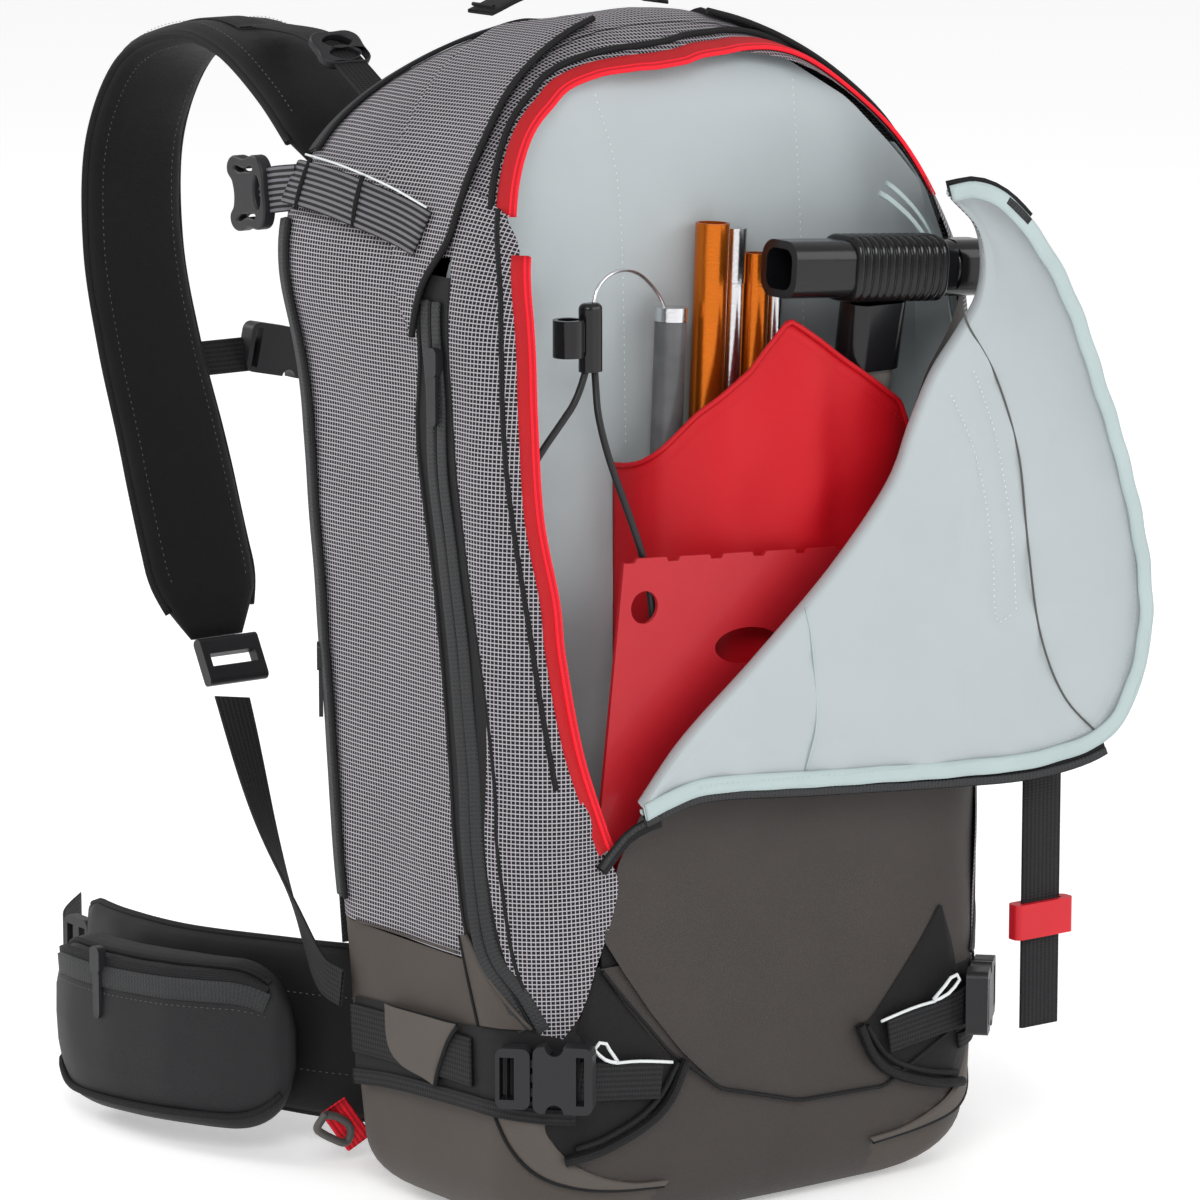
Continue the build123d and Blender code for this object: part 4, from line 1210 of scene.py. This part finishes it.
def plan_pad(name, plan, low, high, thick, material, body, taper=0.0, bulge=0.0, count=40, corner=0.0,
             drop=0.0, slim=0.0):
    """An upright pad that follows a line in plan, such as a hip wing."""
    line = smooth_line([Vector((x, y, 0)) for x, y in plan], count)
    rows, points, uvs, run = 24, [], [], 0.0
    rims = {"low": [], "high": [], "face": [], "skin": []}
    total = run_of(line)
    for k, spot in enumerate(line):
        ahead = (line[min(k + 1, count - 1)] - line[max(k - 1, 0)]).normalized()
        out = Vector((ahead.y, -ahead.x, 0))
        if out.dot(Vector((spot.x, spot.y - 190, 0))) < 0:
            out = -out
        run += (spot - line[k - 1]).length if k else 0.0
        share = k / (count - 1)
        end = min(1.0, (k + 1) / 4, (count - k) / 4)
        half = (high - low) / 2 * (1 - taper * share**2)
        gap = min(run, total - run)
        if gap < corner:
            half -= corner - math.sqrt(corner**2 - (corner - gap) ** 2)
        middle = (high + low) / 2 - drop * share
        deep = thick * (1 - slim * max(0.0, 1 - 2.6 * share))
        for j in range(rows):
            turn = 2 * math.pi * j / rows
            c, d = math.cos(turn), math.sin(turn)
            v = bulged(c, 0.6) * half * (0.82 + 0.18 * end)
            u = bulged(d, 0.75) * deep / 2 * end
            u += bulge * max(0.0, d) * math.sin(math.pi * share) ** 0.5
            base = Vector((spot.x, spot.y, middle + v))
            points.append(base + out * (u + crinkle(base, 24, 1.2)))
            uvs.append((run, v))
        rims["low"].append(Vector((spot.x, spot.y, middle - half * (0.82 + 0.18 * end))))
        rims["high"].append(Vector((spot.x, spot.y, middle + half * (0.82 + 0.18 * end))))
        rims["face"].append((spot, out, half))
        rims["skin"].append((spot + Vector((0, 0, middle)), out, half,
                             deep / 2 * end + bulge * math.sin(math.pi * share) ** 0.5))
    faces = grid_faces(count, rows, True)
    faces += [tuple(range(rows))[::-1], tuple(range((count - 1) * rows, count * rows))]
    obj = mesh_piece(name, points, faces, material, body, uvs)
    return obj, rims


HIP_PLAN = [(86, 83), (106, 97), (125, 130), (148, 190), (150, 250), (140, 305)]


def hip_belt():
    """The two hip wings, the zipped pocket on the left one, and their bindings."""
    for side in ("left", "right"):
        sign = SIGN[side]
        body = f"hip_{side}"
        wing, rims = plan_pad(f"hip_pad_{side}", [(sign * x, y) for x, y in HIP_PLAN], 18, 108, 15, "pad",
                              body, taper=0.22)
        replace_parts(wing, f"hip_wing_{side}")
        for edge in ("low", "high"):
            tube(f"hip_binding_{edge}_{side}", rims[edge][1:-1], 2.0, "binding", body)
        for height in (0.45, -0.45):
            line = [p + out * 8.0 + Vector((0, 0, 63 + half * height)) for p, out, half in rims["face"][4:-3]]
            stitches(f"hip_stitch_{'high' if height > 0 else 'low'}_{side}", line,
                     [out for p, out, half in rims["face"][4:-3]], body,
                     gap=3.6, radius=0.35, material="grey_plastic")
        web = smooth_line([Vector((sign * x, y, 60)) for x, y in ((137.5, 325), (131, 346), (118, 366),
            (96, 388))], 24)
        turns = facing((sign * 0.85, 0.5, 0), web)
        strap = band(f"hip_web_tape_{side}", web, turns, 36, 1.6, "webbing", body)
        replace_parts(strap, f"hip_web_{side}")
    path = [(-140, 105), (-159, 140), (-174, 190), (-177, 233), (-168, 268)]
    pocket, rims = plan_pad("hip_pocket_cloth", path, 14, 104, 28, "pocket", "hip_left", bulge=4.0,
                            count=60, corner=34, drop=8, slim=0.6)
    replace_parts(pocket, "hip_pocket")

    def line_at(share, out, first, last):
        skin = rims["skin"][first:last]
        return [p + Vector((0, 0, half * share)) + way * (reach * out[0] + out[1]) for p, way, half,
                reach in skin]

    outs = [way for p, way, half, reach in rims["skin"][4:-6]]
    tube("hip_pocket_piping", line_at(-0.8, (0.84, 0.4), 2, -2), 1.9, "binding", "hip_left")
    tube("hip_pocket_top_piping", line_at(0.93, (0.5, 0.6), 4, -4), 1.7, "binding", "hip_left")
    band("hip_pocket_zip", line_at(0.66, (0.93, 0.5), 4, -6), outs, 12, 1.6, "zip", "hip_left")
    band("hip_pocket_zip_flap", line_at(0.82, (0.82, 1.2), 4, -6), outs, 6, 2.2, "binding", "hip_left")
    stitches("hip_pocket_stitch", line_at(0.47, (1.0, 0.5), 4, -6), outs, "hip_left", gap=3.4, radius=0.32,
             material="grey_plastic")


def box_points(x0, x1, y0, y1, z0, z1, lean=0.0):
    """Corners and faces of a box whose y grows with z."""
    points = [(x, y + lean * z, z) for z in (z0, z1) for y in (y0, y1) for x in (x0, x1)]
    faces = [(0, 2, 3, 1), (4, 5, 7, 6), (0, 1, 5, 4), (2, 6, 7, 3), (0, 4, 6, 2), (1, 3, 7, 5)]
    return points, faces


def back_side():
    """The back panel's cloth with its zip, the pads on it, the yoke and the lumbar pad."""
    points, uvs = [], []
    rows, columns = 60, 40
    for i in range(rows):
        z = 116 + 398 * i / (rows - 1)
        corner = max(0.0, (abs(z - 315) - 165) / 34)
        wide = 121 - 26 * (1 - math.sqrt(max(0.0, 1 - min(1.0, corner) ** 2)))
        for j in range(columns):
            x = wide * (2 * j / (columns - 1) - 1)
            base = Vector((x, BACK_FOOT + BACK_LEAN * z + 8.2, z))
            points.append(base + Vector((0, crinkle(base, 50, 1.6), 0)))
            uvs.append((x, z))
    cloth = mesh_piece("back_cloth", points, grid_faces(rows, columns), "black", "back_panel", uvs)
    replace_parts(cloth, "back_panel_cloth")
    rim = [Vector((x, BACK_FOOT + BACK_LEAN * z + 7.4, z)) for x, z in
           ((-122, 118), (-122, 200), (-122, 320), (-122, 440), (-118, 490), (-96, 513), (0, 514),
            (96, 513), (118, 490), (122, 440), (122, 320), (122, 200), (122, 118))]
    band("back_zip", rim, facing((0, 1, -0.1), rim), 14, 1.6, "zip", "back_panel")
    for k, x in enumerate((-60, 60)):
        points, faces = box_points(x - 33, x + 33, BACK_FOOT + 8, BACK_FOOT + 17, 160, 466, BACK_LEAN)
        pad = puffed(f"back_pad_{'left' if k == 0 else 'right'}", points, faces, "pad", "back_panel")
        if k == 0:
            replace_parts(pad, "back_pad")
    points, faces = box_points(-108, 108, BACK_FOOT + 9, BACK_FOOT + 18, 479, 503, BACK_LEAN)
    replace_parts(puffed("yoke_pad", points, faces, "pad", "back_panel", cap=3), "harness_yoke")
    points, faces = box_points(-60, 60, 74, 88, 28, 106, 0.1)
    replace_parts(puffed("lumbar_cushion", points, faces, "pad", "pack", cap=5), "lumbar_pad")


for name in ("left", "right"):
    shoulder_strap(name)
hip_belt()
back_side()


# ---- free straps and small trim ---------------------------------------------------------------------------
def free_straps():
    """Every strap that hangs or runs between two points."""
    for side in ("left", "right"):
        sign = SIGN[side]
        low = 214 if side == "left" else 188
        route = [(sign * 150.4, 46, 104), (sign * 149.6, 66, 108), (sign * 139, 100, 124),
                 (sign * 118, 165, 160), (sign * 97, 229, low)]
        outs = [Vector((sign, 0, 0)), Vector((sign, 0, 0)), Vector((sign * 0.8, 0.2, -0.3)),
                Vector((sign * 0.4, 0.3, -0.7)), Vector((0, 0.5, -0.85))]
        web = band(f"shoulder_tape_{side}", [Vector(p) for p in route], outs, 20, 1.7, "webbing", "pack",
                   count=60)
        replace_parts(web, f"shoulder_web_{side}")
    lifters = []
    for side, drop in (("left", 0), ("right", RIGHT_DROP)):
        sign = SIGN[side]
        route = [Vector((sign * STRAP_X, y, z)) for y, z in ((99, 536), (139, 558 - drop),
            (165, 566 - drop), (206, 567 - drop))]
        lifters.append(band(f"load_lifter_{side}", route, [Vector((0, 0, 1))] * 4, 20, 1.7, "webbing",
                            "back_panel", count=40))
    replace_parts(lifters[0], "load_lifters")
    tilt = Vector((0, 1, -0.43))
    chest = band("sternum_tape", [Vector((-51, 327, 377)), Vector((0, 327, 377)), Vector((51, 327, 377))],
                 [tilt] * 3, 19, 1.7, "webbing",
                 "sternum_strap", count=40)
    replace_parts(chest, "sternum_web")
    loop = band("haul_tape", [Vector((x, 61, z)) for x, z in ((-54, 583), (-30, 591), (0, 594), (30, 591),
        (54, 583))],
                [Vector((0, 0, 1))] * 5, 22, 2.0, "webbing", "pack", count=60)
    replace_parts(loop, "haul_loop")
    for spot in (-52, 52):
        bar = [Vector((spot, y, 586.5)) for y in (52, 61, 70)]
        tube(f"haul_bartack_{'left' if spot < 0 else 'right'}", bar, 1.0, "binding")
    hang = band("hang_tape", [Vector((163, -119.4, z)) for z in (400, 300, 200, 72)],
                [Vector((0, -1, 0))] * 4, 25, 1.7, "webbing",
                "carry_strap", count=80)
    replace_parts(hang, "hang_strap")
    band("upper_tail_tape", [Vector((-149, 82, 501)), Vector((-151, 96, 499)), Vector((-151.5, 112, 496))],
         [Vector((-1, 0, 0))] * 3, 23, 1.6,
         "striped", "pack", count=30)
    for k, w in enumerate((-74, -30)):
        line = on_bag([(level(z - k * 4), w + (512 - z) * 0.2) for z in (512, 506, 498, 490)], 6.6)
        tube(f"upper_bartack_left_{k}", line, 1.3, "binding")
    for side in ("left", "right"):
        line = at_heights((513.5, -80), (511.5, -48), (505.5, -12), (498.5, 19))
        tube(f"upper_tape_edge_{side}", on_bag(line if side == "left" else mirror(line), 6.4), 0.6, "thread")


def plate(name, outline_points, holes, thick, matrix, material, body):
    """A moulded plate with holes: 2-D outlines in millimetres, filled, thickened and placed by a matrix."""
    bevel = 1.1
    curve = bpy.data.curves.new(name, "CURVE")
    curve.dimensions, curve.fill_mode = "2D", "BOTH"
    curve.extrude, curve.bevel_depth, curve.bevel_resolution = (thick / 2 - bevel) * MM, bevel * MM, 2
    for loop in [outline_points] + holes:
        spline = curve.splines.new("BEZIER")
        spline.bezier_points.add(len(loop) - 1)
        for knot, (x, y) in zip(spline.bezier_points, loop):
            knot.co = (x * MM, y * MM, 0)
            knot.handle_left_type = knot.handle_right_type = "AUTO"
        spline.use_cyclic_u = True
        spline.resolution_u = 6
    shape = bpy.data.objects.new(name + "_outline", curve)
    bpy.context.scene.collection.objects.link(shape)
    bpy.context.view_layer.update()
    mesh = bpy.data.meshes.new_from_object(shape.evaluated_get(bpy.context.evaluated_depsgraph_get()))
    bpy.data.objects.remove(shape)
    mesh.transform(matrix)
    mesh.materials.clear()
    mesh.materials.append(MATERIAL[material])
    obj = bpy.data.objects.new(name, mesh)
    obj.data.name = name
    bpy.context.scene.collection.objects.link(obj)
    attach(obj, body)
    return obj


def basis(origin, x_way, y_way):
    """The matrix of a plate's own axes, at a point in millimetres."""
    x_way, y_way = Vector(x_way).normalized(), Vector(y_way).normalized()
    z_way = x_way.cross(y_way)
    turn = Matrix((x_way, y_way, z_way)).transposed().to_4x4()
    return Matrix.Translation(Vector(origin) * MM) @ turn


def small_plates():
    """The open upper buckle and the ladder locks of the load lifters."""
    body = [(-15, -12), (-12, -17), (0, -16), (10, -17), (14, -13), (15, 0), (14, 13), (10, 17), (0, 16),
            (-12, 17), (-15, 12), (-11, 6), (-11, -6)]
    arcs = [[(-10, -13.5), (0, -13), (7, -13.6), (8, -11), (0, -9.6), (-8, -10.6)],
            [(-10, 13.5), (0, 13), (7, 13.6), (8, 11), (0, 9.6), (-8, 10.6)],
            [(9, -9), (11.5, -9), (11.5, 9), (9, 9)]]
    buckle = plate("upper_buckle_shell", body, arcs, 7, basis((-152, 119, 495), (0, -1, 0.12),
        (0, 0.12, 1)), "plastic", "upper_buckle")
    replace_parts(buckle, "upper_buckle_left")
    frame_line = [(-12, -9), (0, -10.5), (12, -9), (13, 0), (12, 9), (0, 10.5), (-12, 9), (-13, 0)]
    slots = [[(-9, -6.5), (9, -6.5), (9, -2.5), (-9, -2.5)], [(-9, 2.5), (9, 2.5), (9, 6.5), (-9, 6.5)]]
    for side, drop in (("left", 0), ("right", RIGHT_DROP)):
        sign = SIGN[side]
        plate(f"lifter_lock_{side}", frame_line, slots, 5, basis((sign * STRAP_X, 140, 560 - drop),
            (1, 0, 0), (0, 0.8, 0.6)), "plastic",
              "back_panel")


small_plates()


free_straps()


# ---- foot of the bag: tapes, keeper, recess and seams --------------------------------------------------
def wrap(w, z, out=0.0):
    """A point at depth w and true height z: w runs on round the corner and across the front."""
    wide, front = half_width(z), front_y(z)
    start = -front - CORNER
    if w <= start:
        return Vector((-wide - out, -w, z)), Vector((-1, 0, 0))
    turn = (w - start) / CORNER
    if turn < math.pi / 2:
        push = Vector((-math.cos(turn), -math.sin(turn), 0))
        return Vector((CORNER - wide, front + CORNER, z)) + push * (CORNER + out), push
    return Vector((CORNER - wide + w - start - CORNER * math.pi / 2, front - out, z)), Vector((0, -1, 0))


def flip_x(point):
    """The same point on the right side."""
    return Vector((-point.x, point.y, point.z))


def to_side(points, side):
    """Points of the left side, brought to the side named."""
    return list(points) if side == "left" else [flip_x(p) for p in points]


def foot_patch(name, first, second, material, out, side, rim=0.0):
    """Cloth on the foot of the bag between two lines of (w, z), with a thin turned-down rim."""
    rows, columns = 50, 14
    points, uvs = [], []
    for here, there in zip(smooth_line(first, rows), smooth_line(second, rows)):
        for j in range(columns):
            share = j / (columns - 1)
            w, z = here.lerp(there, share)
            edge = min(1.0, 8 * share, 8 * (1 - share))
            point, push = wrap(w, z, out - rim * (1 - edge))
            point = point + push * crinkle(point, 34, 0.5)
            points.append(point)
            uvs.append((w, z))
    points = to_side(points, side)
    return mesh_piece(f"{name}_{side}", points, grid_faces(rows, columns), material, "pack", uvs)


def foot_seam(name, line, out, radius, side, material="binding"):
    """Piping or a sewn edge on the foot of the bag."""
    fine = [wrap(w, z, out)[0] for w, z in smooth_line(line, 40)]
    return tube(f"{name}_{side}", to_side(fine, side), radius, material)


def foot_band(name, line, width, thick, material, out, side):
    """A tape along a line of (w, z) on the foot of the bag."""
    fine = [wrap(w, z, out) for w, z in smooth_line(line, 40)]
    points = to_side([p for p, _ in fine], side)
    outs = to_side([q for _, q in fine], side)
    return band(f"{name}_{side}", points, outs, width, thick, material, "pack", count=60)


def foot_details(side):
    """What the foot of the bag carries on one side."""
    foot_patch("carrier_band", [(-40, 101), (-10, 103), (54, 107), (96, 112), (122, 110)],
               [(-40, 58), (-4, 63), (52, 67), (84, 68), (119, 66)], "black", 2.0, side, rim=1.2)
    # The recess is a flat patch lifted off the bag, in the darkest black cloth: painted shade that stands in
    # for the depth of the recess.
    foot_patch("front_recess", [(131, 140), (121, 112), (112, 78), (104, 62), (114, 48)],
               [(133, 141), (147, 121), (173, 90), (182, 86), (172, 66)], "pad", 1.7, side, rim=0.6)
    foot_seam("recess_binding", [(183, 87), (173, 69), (160, 59), (138, 51), (113, 46)], 3.0, 2.6, side)
    foot_seam("recess_binding_inner", [(178, 86), (168, 72), (156, 63), (137, 56), (118, 52)], 2.4, 1.6, side)
    foot_patch("boot_strip", [(76, 70), (86, 52), (98, 40), (114, 33), (140, 27), (168, 24)],
               [(103, 68), (107, 56), (117, 44), (133, 35), (152, 29),
                (172, 27)], "patch", 1.9, side, rim=1.2)
    foot_seam("boot_strip_seam", [(77, 68), (86, 52), (98, 40), (114, 33), (140, 27), (168, 24)], 1.4, 0.9,
              side)
    foot_band("carrier_webbing", [(-40, 85), (-8, 87), (30, 89), (64, 90)], 25, 1.5, "webbing", 3.4, side)
    foot_band("carrier_hem", [(-40, 60), (-4, 65), (52, 69), (84, 70), (118, 68)], 8, 1.6, "webbing", 3.0,
              side)
    foot_patch("tape_keeper", [(-10, 104), (-8, 85), (2, 76), (24, 73), (33, 72)],
               [(54, 107), (46, 98), (40, 88), (36, 80), (34, 73)], "patch",
               5.4, side, rim=1.4)
    foot_seam("tape_keeper_edge", [(55, 107), (47, 98), (41, 88), (37, 80), (34, 72)], 4.8, 1.1, side)
    foot_seam("boot_top_seam", [(-38, 140), (-8, 141), (50, 142)], 0.6, 0.7, side, "boot")
    foot_patch("boot_wedge", [(54, 152), (60, 132), (68, 110)], [(60, 153), (76, 136), (98, 112)], "boot",
               2.6, side, rim=1.0)
    foot_seam("boot_wedge_seam", [(55, 152), (61, 132), (69, 109)], 2.4, 0.8, side, "black")
    foot_seam("boot_wedge_edge", [(61, 153), (77, 136), (99, 112)], 2.4, 1.0, side, "boot")
    foot_band("buckle_front_tape", [(112, 87), (136, 84), (166, 80)], 20, 1.6, "webbing", 5.0, side)
    line = [wrap(w, z, 6.4)[0] for w, z in ((138, 93), (150, 92), (162, 90), (172, 88))]
    tube(f"tag_line_{side}", to_side(line, side), 0.8, "thread")
    loop = [wrap(w, z, out)[0] for w, z, out in ((139, 93, 6.0), (131, 96, 8.0), (125, 103, 9.0),
                                                 (129, 106, 9.6), (133, 101, 8.4), (139, 94, 6.4))]
    tube(f"tag_loop_{side}", to_side(loop, side), 0.9, "thread")


def back_frame():
    """The cloth of the bag round and behind the back panel."""
    rows, half = 70, 46
    points, uvs, choose = [], [], []
    for side, shares in ((1, range(half)), (-1, range(half - 1, -1, -1))):
        for k in shares:
            for i in range(rows):
                z = 60 + 514 * i / (rows - 1)
                share = 0.66 + 0.34 * k / (half - 1)
                point, run = ring_point(z, share, -3.4, 0.6) if half_width(z) > CORNER + 1 else (Vector((0,
                    back_y(z), z)), 0.0)
                points.append(Vector((point.x * side, point.y, point.z)))
                uvs.append((run * side, z))
    faces = grid_faces(2 * half, rows)
    choose = [0 if points[face[0]].z < 500 else 1 for face in faces]
    return mesh_piece("back_frame_cloth", points, faces, ["black", "grid"], "pack", uvs, choose)


for name in ("left", "right"):
    foot_details(name)
back_frame()


def back_zip():
    """The zip of the back opening where it shows at the sides and over the top."""
    for side in ("left", "right"):
        flip = FLIP[side]
        low = [(level(z), BACK_CORNER - back_y(z) - 13) for z in (150, 200, 260, 320, 380, 440, 486)]
        bag_band(f"back_edge_zip_{side}", flip(low), 13, 1.6, "zip", out=1.6)
        seam(f"back_edge_piping_{side}", flip([(a, w + 8) for a, w in low]), out=1.6, radius=1.2)
        high = at_heights((518, -86), (532, -86), (551, -77), (567, -62), (576, -48)) + [(TOP, -42)]
        bag_band(f"top_edge_zip_{side}", flip(high), 10, 1.6, "zip", out=2.0)
        seam(f"top_edge_piping_{side}", flip([(a, w + 6) for a, w in high]), out=2.0, radius=1.1)
    loop = vectors(((-92, 112, 528), (-104, 112, 524), (-112, 104, 516), (-112, 100, 505), (-104, 104, 499)))
    tube("yoke_cord_loop", loop, 1.5, "binding", "pack")


back_zip()


GRIP_AT, GRIP_TILT, GRIP_HALF = Vector((79, -88, 462)), math.radians(4), 14
RIB_START, RIB_LENGTH, RIB_PITCH, RIBS = -24, 57.6, 4.8, 12


def grip_ribs():
    """The ribbed middle of the shovel's grip."""
    along = Vector((math.cos(GRIP_TILT), 0, -math.sin(GRIP_TILT)))
    up = Vector((math.sin(GRIP_TILT), 0, math.cos(GRIP_TILT)))
    points, uvs = [], []
    rows, columns = 12 * RIBS + 1, 44
    for i in range(rows):
        t = RIB_START + RIB_LENGTH * i / (rows - 1)
        height = 0.5 + 2.0 * abs(math.sin(math.pi * (t - RIB_START) / RIB_PITCH)) ** 0.7
        if i in (0, rows - 1):
            height = -1.0
        for j in range(columns):
            angle = 2 * math.pi * j / columns
            c, d = math.cos(angle), math.sin(angle)
            y, z = bulged(c, 0.6), bulged(d, 0.6)
            points.append(GRIP_AT + along * t + Vector((0, y, 0)) * (GRIP_HALF + height) + up * z
                          * (GRIP_HALF + height))
            uvs.append((t, j))
    mesh_piece("shovel_grip_ribs", points, grid_faces(rows, columns, True), "gloss", "shovel_handle", uvs)


grip_ribs()


def small_webs():
    """The zip's last stretch down to the gusset, and the red web with its grey loop at the foot."""
    line = vectors(((-105, -111, 188), (-99, -113, 196), (-94, -117, 204), (-88, -121, 209),
                    (-79, -123.5, 212)))
    band("flap_zip_end", line, facing((0, -1, 0), line), 7, 1.4, "binding", "pack")
    band("flap_zip_end_coil", [p + Vector((-0.6, -0.9, 1.6)) for p in line], facing((0, -1, 0), line), 2.6,
         1.4, "zip", "pack")
    red = vectors(((-130, 86, 31), (-125, 86, 24), (-120, 86, 17), (-114, 86, 9)))
    band("foot_red_web", red, facing((-0.5, -0.6, 0.3), red), 15, 1.6, "red_web", "pack")
    ring = vectors(((-136, 84, 28), (-128, 84, 25), (-122, 84, 20), (-121, 84, 15),
                    (-124, 84, 11), (-131, 84, 14), (-139, 84, 19), (-141, 84, 22), (-136, 84, 28)))
    tube("foot_loop", ring, 2.1, "grey_plastic", "pack", count=60)
    for side in ("left", "right"):
        flip = FLIP[side]
        line = flip([(level(z), 151) for z in (84, 110, 140, 170, 184)])
        bag_band(f"gusset_backing_{side}", line, 30, 1.2, "black", out=-2.4)


small_webs()
